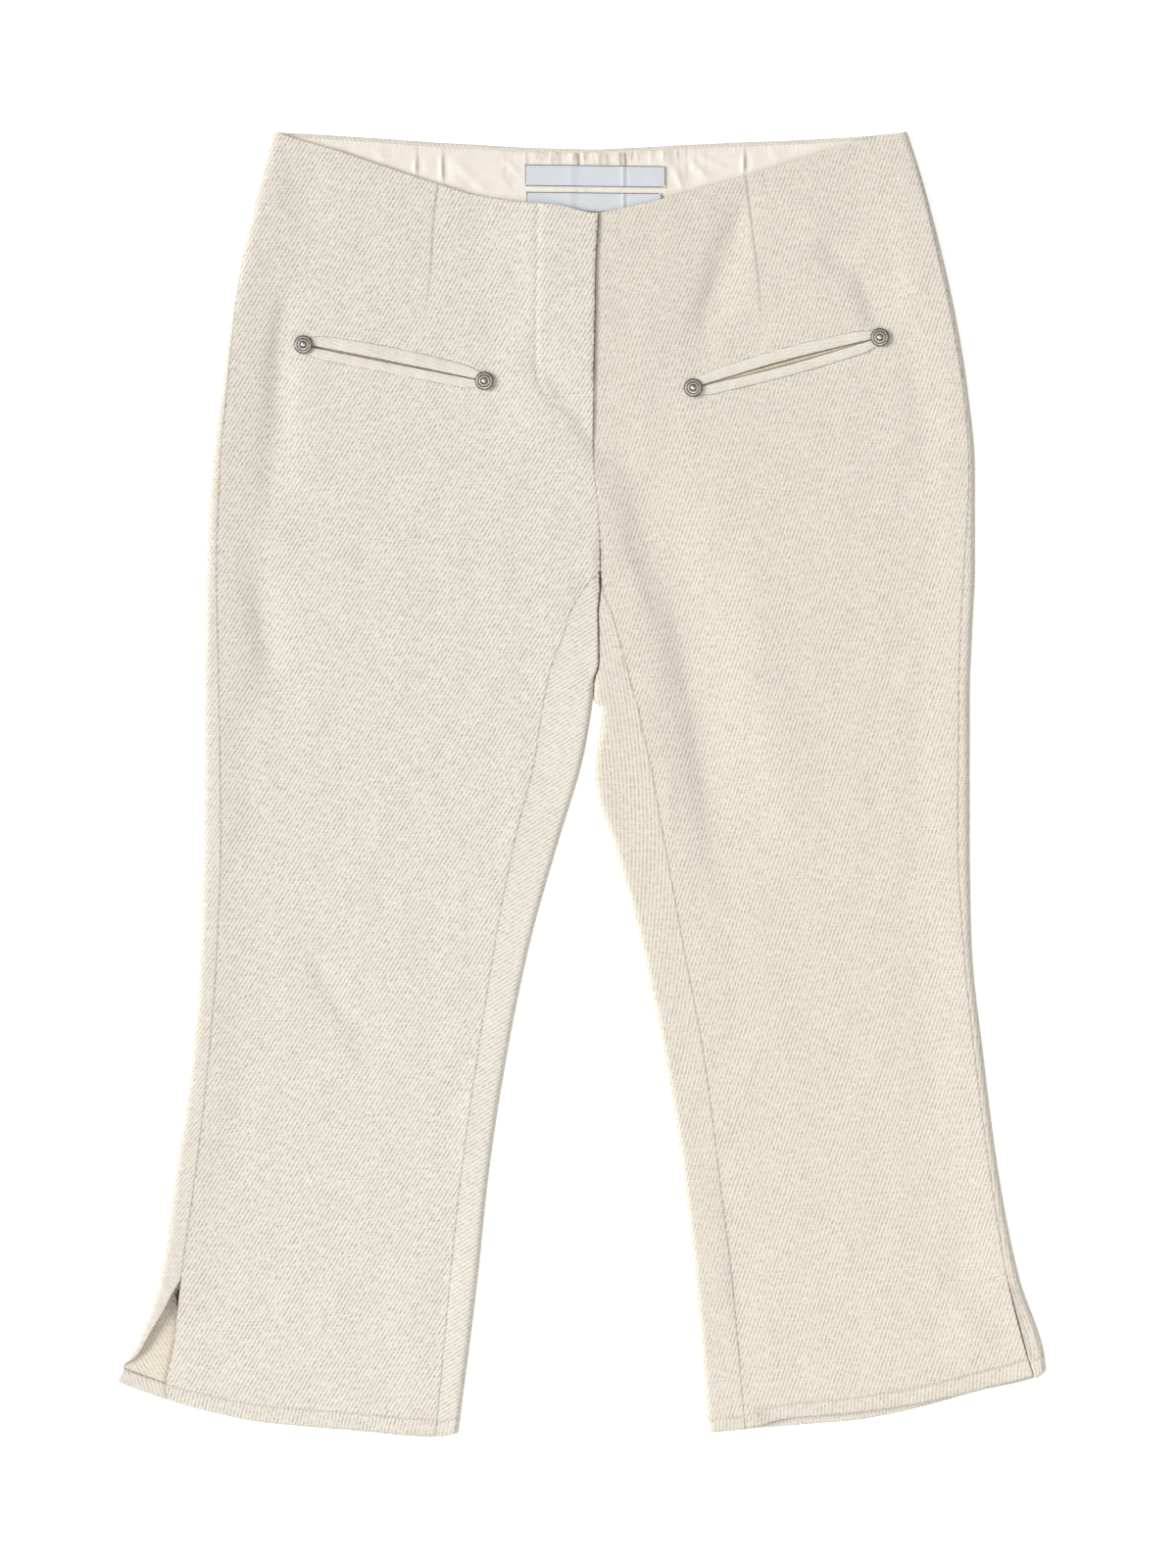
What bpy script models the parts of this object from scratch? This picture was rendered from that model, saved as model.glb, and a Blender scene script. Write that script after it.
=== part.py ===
"""Capri trousers laid flat on their back, front side up.

The garment is built the way it is sewn: two back panels that roll round the sides of each leg on to the top,
two front panels, a fly with its shield and zip, two double-welt pockets with riveted ends, and the strip of
satin lining and the two bare labels that show inside the back of the waist.

Frame: +X to the wearer's left, +Y to the waist, +Z up from the surface that the garment lies on.
Every size is in millimetres until make_object turns it into metres.
"""

import math
from dataclasses import dataclass
from functools import lru_cache

import bmesh
import bpy
import numpy as np

MM = 0.001
SEAM_GAP = 0.3
CLOTH = 1.4
THIN = 1.0
TURNED = 2.6  # wall where the hem or the waist edge is turned in on itself

# Heights of the upper layer's outside, from the surface below.
UPPER = 6.6
WAIST_UPPER = 6.7
HEM_UPPER = 6.9
LAP_UPPER = 8.6
UNDERLAP_UPPER = 6.9

# Levels of the layers inside the waist.
LINING_Z = CLOTH + SEAM_GAP
SHIELD_Z = LINING_Z + THIN + SEAM_GAP
ZIP_Z = SHIELD_Z + THIN + SEAM_GAP
ZIP_TAPE = 0.8

# Heights along the garment.
HEM_Y, FOLD_Y, CROTCH_Y, WAIST_Y = -365.0, 50.0, 124.0, 375.0
WAIST_TOP = 380.0
FLY_END_Y = 221.0
UNDERLAP = 7.0

SIDE_RISE_REACH = 30.0
INNER_RISE_REACH = 22.0
FLY_HALF_WIDTH, FLY_RISE_REACH = 24.0, 40.0
INNER_ROLL = 3.5
CROTCH_ROLL = 2.9
CREASE_TURN, CREASE_REACH = 65.0, 20.0  # degrees that the crotch crease opens above the fold, and how soon
SEAT_REACH = 14.0  # how soon the seat lies level above the fold
WAIST_RISE_FROM, WAIST_RISE_REACH = 260.0, 70.0
HEM_RISE_FROM, HEM_RISE_REACH = -300.0, 50.0
FLY_RISE_FROM, FLY_RISE_LENGTH = 180.0, 36.0
UNDERLAP_REACH = 15.0
ROLL_STEPS = 12
PATH_STEP = 3.0


def ease(share):
    """A smooth step from 0 to 1."""
    share = np.clip(share, 0.0, 1.0)
    return share * share * (3.0 - 2.0 * share)


class Table:
    """A short table with named columns, each read as a smooth curve over the first one."""

    def __init__(self, columns, *rows):
        names = columns.split()
        values = np.array(sorted(rows), float)
        self.at = values[:, 0]
        self.columns = {name: values[:, i] for i, name in enumerate(names)}
        self.slopes = {name: self.slopes_of(column) for name, column in self.columns.items()}

    def slopes_of(self, column):
        """Slopes at the rows that make no overshoot between them."""
        steps = np.diff(column) / np.diff(self.at)
        slopes = np.concatenate([steps[:1], np.zeros(len(steps) - 1), steps[-1:]])
        for i, (before, after) in enumerate(zip(steps[:-1], steps[1:]), start=1):
            if before * after > 0:
                slopes[i] = 2.0 * before * after / (before + after)
        return slopes

    def __call__(self, name, at):
        at = min(max(at, self.at[0]), self.at[-1])
        i = min(int(np.searchsorted(self.at, at, side="right")) - 1, len(self.at) - 2)
        span = self.at[i + 1] - self.at[i]
        t = (at - self.at[i]) / span
        column, slopes = self.columns[name], self.slopes[name]
        return float(
            column[i] * (1 + 2 * t) * (1 - t) ** 2
            + slopes[i] * span * t * (1 - t) ** 2
            + column[i + 1] * t * t * (3 - 2 * t)
            + slopes[i + 1] * span * t * t * (t - 1)
        )


@dataclass(frozen=True)
class Leg:
    """One leg with its half of the hips. side is -1 for the wearer's right and +1 for the left."""

    name: str
    side: int
    outside: Table  # y, outer = widest point, outseam = the front's side edge on top, roll = radius
    inside: Table  # y, inseam = the front's inner edge on top, inner = edge of the leg below the crotch
    hem: Table  # x, front, back = height of the hem edge of each panel
    vent: Table  # y, free = how far the back's side edge has left the front's, open = 1 where it lies flat


RIGHT = Leg(
    "right",
    -1,
    Table(
        "y outer outseam roll",
        (380, -179.5, -179.5, 3.4),
        (348, -188.0, -188.0, 3.7),
        (314, -196.0, -195.5, 4.0),
        (274, -204.0, -201.5, 4.0),
        (228, -210.5, -206.0, 4.0),
        (183, -216.0, -210.0, 4.0),
        (125, -219.0, -212.0, 4.0),
        (50, -220.5, -210.5, 4.0),
        (-34, -221.0, -209.5, 4.0),
        (-91, -222.5, -211.5, 4.0),
        (-159, -227.5, -216.5, 4.0),
        (-228, -237.5, -224.5, 4.0),
        (-293, -247.5, -233.5, 4.0),
        (-325, -259.0, -237.0, 3.4),
        (-333, -263.5, -238.5, 2.6),
        (-337, -266.5, -239.5, 1.6),
        (-348, -271.0, -241.5, 0.8),
    ),
    Table(
        "y inseam inner",
        (124, 11.0, 11.0),
        (113, 1.0, 10.8),
        (100, -6.5, 9.6),
        (85, -11.0, 10.0),
        (70, -17.0, 10.0),
        (60, -19.5, 7.2),
        (50, -21.5, 6.75),
        (28, -25.0, 3.6),
        (12, -27.5, 0.3),
        (-34, -39.0, -13.5),
        (-91, -50.0, -29.5),
        (-159, -60.5, -43.5),
        (-228, -70.0, -54.0),
        (-290, -76.5, -60.5),
        (-377, -84.5, -71.5),
    ),
    Table(
        "x front back",
        (-271, -347.0, -348.0),
        (-244, -357.0, -357.7),
        (-217, -364.5, -365.5),
        (-187, -370.2, -371.5),
        (-134, -374.8, -376.3),
        (-88, -378.2, -380.0),
        (-71, -376.5, -377.5),
    ),
    Table(
        "y free open",
        (-288, 0.0, 0.0),
        (-296, 4.0, 0.0),
        (-306.4, 8.2, 0.0),
        (-316.4, 13.2, 0.0),
        (-329, 19.5, 0.0),
        (-339, 25.2, 1.0),
    ),
)

LEFT = Leg(
    "left",
    1,
    Table(
        "y outer outseam roll",
        (380, 189.5, 189.5, 3.4),
        (348, 199.5, 198.6, 3.7),
        (314, 208.5, 206.0, 4.0),
        (274, 217.5, 215.0, 4.0),
        (228, 225.0, 222.3, 4.0),
        (183, 229.0, 225.5, 4.0),
        (125, 229.0, 222.5, 4.0),
        (92, 227.5, 220.5, 4.0),
        (50, 226.0, 219.5, 4.0),
        (-34, 226.0, 219.0, 4.0),
        (-91, 227.0, 222.0, 4.0),
        (-159, 234.0, 229.0, 4.0),
        (-228, 243.0, 238.0, 4.0),
        (-286, 254.5, 247.5, 4.0),
        (-330, 269.0, 258.5, 3.8),
        (-345, 271.0, 263.5, 3.6),
    ),
    Table(
        "y inseam inner",
        (124, 11.0, 11.0),
        (113, 12.6, 10.8),
        (100, 17.5, 9.6),
        (85, 22.0, 10.0),
        (70, 26.0, 10.0),
        (60, 28.7, 7.2),
        (50, 31.5, 6.75),
        (43, 33.5, 11.4),
        (24, 37.5, 9.0),
        (6, 41.5, 7.0),
        (-6, 43.5, 8.6),
        (-34, 48.5, 18.0),
        (-91, 59.0, 33.5),
        (-159, 71.5, 47.5),
        (-228, 80.5, 58.5),
        (-290, 88.0, 65.5),
        (-377, 95.5, 73.0),
    ),
    Table(
        "x front back",
        (73, -376.4, -376.8),
        (86, -375.4, -375.9),
        (98, -374.0, -375.2),
        (110, -370.6, -374.2),
        (122, -368.4, -373.4),
        (155, -365.7, -370.8),
        (178, -362.8, -367.0),
        (199, -359.4, -362.2),
        (231, -352.0, -353.3),
        (264, -343.4, -345.5),
        (271, -340.0, -341.0),
    ),
    Table(
        "y free open",
        (-286, 0.0, 0.0),
        (-330, 2.5, 0.0),
        (-345, 3.5, 0.0),
    ),
)

LEGS = (RIGHT, LEFT)

CENTRE_FRONT = Table(
    "y x",
    (380, 10.5),
    (332, 10.0),
    (305, 8.5),
    (274, 8.0),
    (226, 7.0),
    (202, 6.6),
    (183, 7.5),
    (166, 9.2),
    (148, 10.4),
    (124, 11.0),
)
CENTRE_BACK = Table("y x", (380, 4.0), (200, 5.0), (50, 6.75))

WAIST = Table(
    "x front back",
    (-179.5, 380.0, 380.0),
    (-160, 373.8, 379.0),
    (-144.5, 369.6, 378.0),
    (-116, 360.0, 376.2),
    (-84.5, 349.7, 374.0),
    (-59, 342.4, 372.6),
    (-36, 339.0, 371.2),
    (-13, 337.0, 370.4),
    (8, 332.4, 370.0),
    (22, 335.0, 370.6),
    (38, 338.4, 371.3),
    (55, 343.0, 372.3),
    (72, 347.4, 373.1),
    (96, 354.4, 374.2),
    (118, 361.0, 375.0),
    (146, 369.6, 376.4),
    (169, 376.0, 378.0),
    (189.5, 380.0, 380.0),
)

# The soft folds of the upper layer: a straight ridge, or a trough where rise is negative.
FOLDS = Table(
    "x0 y0 x1 y1 rise width",
    (-171.0, 292.0, -182.0, 150.0, -2.0, 7.0),
    (-194.0, 142.0, -176.0, 32.0, -1.5, 7.5),
    (-167.5, 372.0, -169.5, 322.0, -0.8, 6.0),
    (-159.0, -92.0, -118.0, -172.0, -1.0, 7.0),
    (-76.0, -262.0, -81.0, -352.0, -0.8, 6.0),
    (-28.0, 262.0, -21.0, 228.0, -0.8, 6.0),
    (-24.0, 232.0, 6.0, 208.0, -1.0, 6.0),
    (-2.0, 214.0, 18.0, 178.0, -0.9, 6.0),
    (14.0, 196.0, 58.0, 60.0, -2.6, 9.0),
    (42.0, 122.0, 75.0, -66.0, -2.6, 9.0),
    (60.0, 135.0, 98.0, -20.0, 1.2, 15.0),
    (60.5, 244.0, 98.0, 352.0, -2.1, 8.0),
    (84.0, 282.0, 98.0, 334.0, 1.1, 8.0),
    (133.0, 312.0, 161.0, 300.0, -1.3, 5.5),
    (157.0, 304.0, 176.0, 258.0, -1.5, 6.0),
    (83.0, 263.0, 138.0, 284.0, -0.7, 7.0),
    (79.0, -205.0, 99.0, -362.0, -0.8, 5.0),
    (214.0, -296.0, 240.0, -330.0, 0.8, 10.0),
    (176.0, 380.0, 207.0, 232.0, 0.8, 9.0),
)

# Rows of every panel from hem to waist, by their height at the middle of the garment's width.
HEM_ROWS = (-365.0, -360.0, -355.0)
LEG_ROWS = (
    -353.8, -350.0, -342.0, -327.0, -309.0, -285.0, -258.0, -230.0, -202.0, -174.0,
    -146.0, -118.0, -90.0, -64.0, -40.0, -18.0, 4.0, 24.0, 40.0,
)  # fmt: skip
CROTCH_ROWS = (FOLD_Y, 60.0, 72.0, 86.0, 100.0, 113.0)
CROTCH_TIP_ROW = 119.0
HIP_ROWS = (
    CROTCH_Y, 138.0, 152.0, 167.0, 182.0, 198.0, 214.0, 228.0, 242.0, 256.0,
    270.0, 285.0, 300.0, 316.0, 332.0, 350.0, 372.2,
)  # fmt: skip
WAIST_ROWS = (373.0, WAIST_Y)
ROWS = HEM_ROWS + LEG_ROWS + CROTCH_ROWS + HIP_ROWS + WAIST_ROWS

# Columns of a front panel, as shares of the way from the side edge to the inner edge.
FRONT_COLUMNS = (
    0.0, 0.015, 0.035, 0.075, 0.11, 0.15, 0.2, 0.26, 0.33, 0.41, 0.5,
    0.57, 0.64, 0.7, 0.76, 0.82, 0.87, 0.92, 0.96, 1.0,
)  # fmt: skip
SIDE_COLUMNS, FLOOR_COLUMNS, INNER_COLUMNS, STRIP_COLUMNS = 7, 5, 3, 5
FLOOR_MARGIN = 8.0
INNER_MARGIN = 5.0


# Inside of the waist: the lining's edges below the panels' edges, its gathers and its small creases.
LINING_TOP_DROP = 3.2
LINING_UNDER_FRONT = 14.0
LINING_SIDE_INSET = 6.0
LINING_SIDE_COLUMNS, LINING_GATHER_COLUMNS, LINING_ROWS = 8, 36, 6
GATHER_FROM, GATHER_TO = -38.0, 57.0
GATHER_SPACING, GATHER_RISE, GATHER_FADE = 9.5, 0.8, 10.0
LINING_FADE = 6.0
PRESSED, PRESSED_REACH = 0.4, 8.0  # share of the gathers' rise under a label, and how far round it
LINING_CREASES = Table("x rise width", (-97, 0.5, 2.5), (-82, 0.4, 2.5), (94, 0.6, 2.0))

# Bare labels sewn on the lining: left and right top corners, and height.
LABELS = {
    "label_upper": ((-33.0, 361.0), (48.7, 360.0), 12.6),
    "label_lower": ((-32.2, 345.1), (46.5, 344.2), 11.5),
}
LABEL_COLUMNS, LABEL_ROWS = 8, 2

# The fly under its lap.
SHIELD_FROM, SHIELD_TO = -26.0, 14.0  # from the centre front
SHIELD_TOP, SHIELD_BOTTOM = 330.0, 213.0
ZIP_TOP, ZIP_BOTTOM = 326.0, 214.0
ZIP_CENTRE, ZIP_WIDTH, CHAIN_WIDTH, CHAIN_RISE = -11.0, 27.0, 5.0, 0.7
FLY_STEPS = 8
SLIDER_Y, SLIDER_WIDTH, SLIDER_LENGTH, SLIDER_THICKNESS = 318.0, 6.4, 9.0, 0.8
TAB_WIDTH, TAB_LENGTH, NECK_WIDTH = 3.6, 17.0, 2.2


@dataclass(frozen=True)
class Pocket:
    """A slanting pocket mouth with two welts, a rivet at each end and a bag below."""

    leg: Leg
    outer_end: tuple
    inner_end: tuple
    gape: float  # widest opening between the welts
    upper_bow: float  # how much wider the upper welt is at its middle

    def mouth(self, share, across=0.0):
        """The point at this share of the way inwards along the mouth, moved up across it."""
        start, end = np.array(self.outer_end), np.array(self.inner_end)
        along = (end - start) / np.linalg.norm(end - start)
        upwards = np.array([-along[1], along[0]]) * (1 if along[0] > 0 else -1)
        return start + share * (end - start) + across * upwards

    @property
    def length(self):
        return math.dist(self.outer_end, self.inner_end)


POCKETS = (
    Pocket(RIGHT, (-161.8, 255.7), (-56.6, 234.6), 0.8, 2.2),
    Pocket(LEFT, (173.3, 259.9), (64.8, 230.6), 3.4, 2.2),
)
WELT_WIDTH = 5.6
WELT_COLUMNS = 20
SLOT_SPARE = 0.5  # how far the cut in the panel goes past the gape, under each welt
SLOT_ENDS = 0.06
BAG_ABOVE, BAG_DEPTH, BAG_COLUMNS, BAG_ROWS = 9.0, 118.0, 8, 8

RIVET_CORE = 2.2
RIVET_RADIUS = 5.35
RIVET_SIDES = 20
# A rivet's cap from rim to middle: radius, and height over the welts' top.
RIVET_PROFILE = Table(
    "radius height",
    (5.35, 0.75),
    (4.9, 1.25),
    (4.1, 1.4),
    (3.6, 1.05),
    (3.0, 1.15),
    (2.5, 1.6),
    (1.3, 1.9),
)
RIVET_MIDDLE = 2.0


def fold_relief(x, y):
    """How far the soft folds lift or sink the upper layer."""
    lift = 0.0
    folds = FOLDS.columns
    for x0, y0, x1, y1, rise, width in zip(*(folds[name] for name in folds)):
        along = np.array([x1 - x0, y1 - y0])
        place = np.array([x - x0, y - y0])
        share = float(np.clip(place @ along / (along @ along), 0.0, 1.0))
        distance = np.linalg.norm(place - share * along)
        lift += rise * math.sin(math.pi * share) * math.exp(-((distance / width) ** 2))
    return lift


def middle_height(leg, x, y):
    """Height of the upper layer's outside, away from the rolls at its sides."""
    z = UPPER + (WAIST_UPPER - UPPER) * ease((y - WAIST_RISE_FROM) / WAIST_RISE_REACH)
    z += (HEM_UPPER - UPPER) * ease((HEM_RISE_FROM - y) / HEM_RISE_REACH)
    over_zip = (LAP_UPPER if leg is RIGHT else UNDERLAP_UPPER) - z
    from_fly = abs(x - CENTRE_FRONT("x", y)) - FLY_HALF_WIDTH
    along_fly = ease((y - FLY_RISE_FROM) / FLY_RISE_LENGTH)
    z += over_zip * (1.0 - ease(from_fly / FLY_RISE_REACH)) * along_fly
    return z + fold_relief(x, y)


class Section:
    """The outside of one leg, cut across at a height y, as two paths that start at the side roll.

    A place on it is a distance from the widest point: above zero along the upper path, below it
    along the lower path.
    """

    def __init__(self, leg, y):
        self.leg, self.y = leg, y
        self.outer, self.roll = leg.outside("outer", y), leg.outside("roll", y)
        self.inner = leg.inside("inner", y) + leg.side * SEAM_GAP / 2 if y < CROTCH_Y else None
        opened = ease((y - FOLD_Y) / (CROTCH_Y - FOLD_Y))
        self.inner_roll = INNER_ROLL + (CROTCH_ROLL - INNER_ROLL) * opened
        upper_turn = math.radians(90.0 + CREASE_TURN * ease((y - FOLD_Y) / CREASE_REACH))
        lower_turn = math.radians(90.0 * (1.0 - ease((y - FOLD_Y) / SEAT_REACH)))
        centre_back = CENTRE_BACK("x", y) + leg.side * SEAM_GAP / 2
        centre_front = CENTRE_FRONT("x", y) - (UNDERLAP + 1.0 if leg is LEFT else 0.0)
        if self.inner is None:
            upper_end, upper_turn = centre_front, math.pi
        else:
            upper_end = self.inner
        lower_end = self.inner if y < FOLD_Y else centre_back
        self.upper = self.path(math.pi, upper_end, upper_turn, self.upper_height)
        self.lower = self.path(0.0, lower_end, lower_turn, lambda x: 0.0)

    def upper_height(self, x):
        middle = middle_height(self.leg, x, self.y)
        from_side = abs(x - self.outer) - self.roll
        z = middle + (2 * self.roll - middle) * (1 - ease(from_side / SIDE_RISE_REACH))
        if self.inner is not None:
            from_inner = abs(x - self.inner) - self.inner_roll
            rise = 2 * self.inner_roll - middle
            z += rise * (1 - ease(from_inner / INNER_RISE_REACH))
        return z

    def path(self, level, end, last_turn, height):
        """Points from the widest point round the side roll, inwards, and into the inner roll.

        A turn is measured round a roll from its lowest point. level is the turn at which this path
        runs flat, end is the x at which it stops, and last_turn is the turn of the inner roll there.
        """
        side = self.leg.side
        points = [
            (self.outer - side * self.roll * (1 - math.sin(turn)), self.roll * (1 - math.cos(turn)))
            for turn in np.linspace(math.pi / 2, level, ROLL_STEPS)
        ]
        start = self.outer - side * self.roll
        flat_end = end + side * self.inner_roll * math.sin(last_turn)
        count = max(2, int(abs(flat_end - start) / PATH_STEP))
        points += [(x, height(x)) for x in np.linspace(start, flat_end, count)[1:]]
        inner_turns = np.linspace(level, last_turn, ROLL_STEPS)[1:] if last_turn != level else ()
        points += [
            (flat_end - side * self.inner_roll * math.sin(turn), self.inner_roll * (1 - math.cos(turn)))
            for turn in inner_turns
        ]
        upwards = 1 if level else -1
        ways = ((0.0, upwards), (upwards * side * math.cos(last_turn), -upwards * math.sin(last_turn)))
        return Path(np.array(points), ways)

    def distance(self, x):
        """The distance on the upper path at which it passes over x."""
        inwards = -self.leg.side * self.upper.points[:, 0]
        return float(np.interp(-self.leg.side * x, inwards, self.upper.lengths))

    def place(self, distance):
        """The point there, and the direction that faces out of the cloth."""
        path, turn = (self.upper, 1) if distance >= 0 else (self.lower, -1)
        point, (along_x, along_z) = path.at(abs(distance))
        outwards = turn * self.leg.side * np.array([along_z, -along_x])
        return point, outwards


class Path:
    """A line of points in a cross-section, read by its length. ways are its directions at its two ends."""

    def __init__(self, points, ways):
        steps = np.linalg.norm(np.diff(points, axis=0), axis=1)
        keep = np.concatenate([[True], steps > 1e-9])
        self.points = points[keep]
        self.lengths = np.concatenate([[0.0], np.cumsum(steps[steps > 1e-9])])
        self.directions = np.gradient(self.points, self.lengths, axis=0)
        self.directions[[0, -1]] = ways

    @property
    def length(self):
        return float(self.lengths[-1])

    def at(self, length):
        point = np.array([np.interp(length, self.lengths, self.points[:, i]) for i in (0, 1)])
        along = np.array([np.interp(length, self.lengths, self.directions[:, i]) for i in (0, 1)])
        return point, along / np.linalg.norm(along)


@lru_cache(maxsize=None)
def section(leg, y):
    return Section(leg, y)


def row_height(leg, panel, nominal, x):
    """A row's height over x: level at the crotch, and turning into the hem's and the waist's own curve."""
    if nominal < FOLD_Y:
        share = (FOLD_Y - nominal) / (FOLD_Y - HEM_Y)
        return nominal + share * (leg.hem(panel, x) - HEM_Y)
    share = max(0.0, (nominal - CROTCH_Y) / (WAIST_Y - CROTCH_Y))
    return nominal + share * (WAIST(panel, x) - WAIST_Y)


def wall_thickness(panel, nominal):
    """Double where the hem is turned in, and at the back of the waist, whose turned edge shows."""
    turned = nominal in HEM_ROWS or (panel == "back" and nominal in WAIST_ROWS)
    return TURNED if turned else CLOTH


def panel_place(leg, panel, nominal, distance_in):
    """Outer and inner point of a wall where a row crosses a column.

    distance_in gives the column's distance in a section, since seams and rolls change with height.
    """
    y = nominal
    for _ in range(3):
        cut = section(leg, round(y, 3))
        (x, z), outwards = cut.place(distance_in(cut))
        y = row_height(leg, panel, nominal, x)
    inner = np.array([x, z]) - wall_thickness(panel, nominal) * outwards
    return (x, y, z), (inner[0], y, inner[1])


def outseam_distance(cut):
    return cut.distance(cut.leg.outside("outseam", cut.y))


def inseam_distance(cut):
    return cut.distance(cut.leg.inside("inseam", cut.y))


def front_inner_distance(cut):
    """Where a front ends: at the inseam, at the centre seam, or under the lap of the fly."""
    if cut.y < CROTCH_Y:
        return inseam_distance(cut) - SEAM_GAP / 2
    x = CENTRE_FRONT("x", cut.y)
    if cut.leg is LEFT:
        x -= (UNDERLAP + SEAM_GAP) * ease((cut.y - FLY_END_Y) / UNDERLAP_REACH)
    return cut.distance(x) - SEAM_GAP / 2


def front_distance(share):
    def distance(cut):
        start = outseam_distance(cut) + SEAM_GAP / 2
        return start + share * (front_inner_distance(cut) - start)

    return distance


def back_edge_distance(cut):
    """Where a back panel's side edge lies: at the front's edge, drawn away from it, or flat at a vent."""
    wrapped = outseam_distance(cut) - SEAM_GAP / 2 - cut.leg.vent("free", cut.y)
    quarter = cut.roll * math.pi / 2
    flat = cut.leg.vent("open", cut.y)
    return (1 - flat) * max(wrapped, -quarter) + flat * -quarter


def side_distance(share):
    """A column from the back's side edge, round the side roll, to the floor."""

    def distance(cut):
        start = back_edge_distance(cut)
        end = -(cut.roll * math.pi / 2 + FLOOR_MARGIN)
        return start + share * (end - start)

    return distance


def floor_distance(share):
    """A column on the floor."""

    def distance(cut):
        start = cut.roll * math.pi / 2 + FLOOR_MARGIN
        end = cut.lower.length - cut.inner_roll * math.pi / 2 - INNER_MARGIN
        return -(start + share * (end - start))

    return distance


def inner_distance(share):
    """A column from the floor up to the inner edge, or level to the centre back seam."""

    def distance(cut):
        end = cut.lower.length
        start = cut.lower.length - cut.inner_roll * math.pi / 2 - INNER_MARGIN
        return -(start + share * (end - start))

    return distance


def strip_distance(share):
    """A column of the back's strip that lies on top, from the inner edge to the inseam."""

    def distance(cut):
        start = cut.upper.length
        end = inseam_distance(cut) + SEAM_GAP / 2
        return start + share * (end - start)

    return distance


class Wall:
    """A sheet of cloth with an outer and an inner point at each corner, which closes into one solid."""

    def __init__(self):
        self.mesh = bmesh.new()
        self.corners = {}

    def corner(self, key, outer_inner):
        """The corner of this name, made where it is first asked for."""
        if key not in self.corners:
            self.corners[key] = tuple(
                self.mesh.verts.new([MM * value for value in point]) for point in outer_inner()
            )
        return self.corners[key]

    def grid(self, keys, place):
        """Faces between neighbouring names, with place giving the outer and inner point of a name."""
        for row, next_row in zip(keys[:-1], keys[1:]):
            for a, b, c, d in zip(row[:-1], row[1:], next_row[1:], next_row[:-1]):
                corners = [self.corner(key, lambda key=key: place(key)) for key in (a, b, c, d)]
                for layer, order in ((0, (0, 1, 2, 3)), (1, (3, 2, 1, 0))):
                    self.mesh.faces.new([corners[i][layer] for i in order])

    def close(self):
        """Joins the outer and inner layers along every open edge, and turns all faces outwards."""
        inner_of = {outer: inner for outer, inner in self.corners.values()}
        for edge in [edge for edge in self.mesh.edges if len(edge.link_faces) == 1]:
            a, b = edge.verts
            if a in inner_of and b in inner_of:
                self.mesh.faces.new([b, a, inner_of[a], inner_of[b]])
        bmesh.ops.recalc_face_normals(self.mesh, faces=self.mesh.faces)
        return self.mesh


def make_object(name, mesh_builder, material, sharp=40.0):
    """A bmesh in metres becomes a named, smoothly shaded object."""
    mesh = bpy.data.meshes.new(name)
    mesh_builder.to_mesh(mesh)
    mesh_builder.free()
    mesh.shade_smooth()
    mesh.set_sharp_from_angle(angle=math.radians(sharp))
    mesh.materials.append(material)
    made = bpy.data.objects.new(name, mesh)
    bpy.context.scene.collection.objects.link(made)
    return made


def make_material(name, colour, roughness, metallic=0.0):
    material = bpy.data.materials.new(name)
    material.use_nodes = True
    shader = material.node_tree.nodes["Principled BSDF"]
    shader.inputs["Base Color"].default_value = (*colour, 1.0)
    shader.inputs["Roughness"].default_value = roughness
    shader.inputs["Metallic"].default_value = metallic
    return material


def front_panel(leg, material):
    wall = Wall()
    keys = [[(row, share) for share in FRONT_COLUMNS] for row in ROWS]
    wall.grid(keys, lambda key: panel_place(leg, "front", key[0], front_distance(key[1])))
    return make_object(f"front_{leg.name}", wall.close(), material)


def back_panel(leg, material):
    """The leg wraps from side edge to inseam; above the fold it parts into the seat and the crotch strip."""
    wall = Wall()

    def columns(kind, count, first=0):
        return [(kind, i / count) for i in range(first, count + 1)]

    seat = (
        columns(side_distance, SIDE_COLUMNS)
        + columns(floor_distance, FLOOR_COLUMNS, 1)
        + columns(inner_distance, INNER_COLUMNS, 1)
    )
    strip = [seat[-1]] + columns(strip_distance, STRIP_COLUMNS, 1)

    def place(key):
        row, (kind, share) = key
        return panel_place(leg, "back", row, kind(share))

    leg_rows = [row for row in ROWS if row <= FOLD_Y]
    seat_rows = [row for row in ROWS if row >= FOLD_Y]
    strip_rows = CROTCH_ROWS[1:] + (CROTCH_TIP_ROW,)
    wall.grid([[(row, column) for column in seat + strip[1:]] for row in leg_rows], place)
    wall.grid([[(row, column) for column in seat] for row in seat_rows], place)
    crease = (strip_distance, 0.0)
    fold_row = [(FOLD_Y, column) for column in strip]
    upper_rows = [[(row, column) for column in [crease] + strip[1:]] for row in strip_rows]
    wall.grid([fold_row] + upper_rows, place)
    return make_object(f"back_{leg.name}", wall.close(), material)


def on_cloth(leg, x, y, lift):
    """A point of the upper layer's outside over (x, y), moved out of the cloth by lift."""
    cut = section(leg, round(float(y), 3))
    (px, pz), outwards = cut.place(cut.distance(x))
    return (px + lift * outwards[0], y, pz + lift * outwards[1])


def sheet_wall(columns, rows, place):
    """A closed wall over a plain grid; place(column share, row share) gives its outer and inner point."""
    wall = Wall()
    keys = [[(i / columns, j / rows) for i in range(columns + 1)] for j in range(rows + 1)]
    wall.grid(keys, lambda key: place(*key))
    return wall.close()


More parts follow.
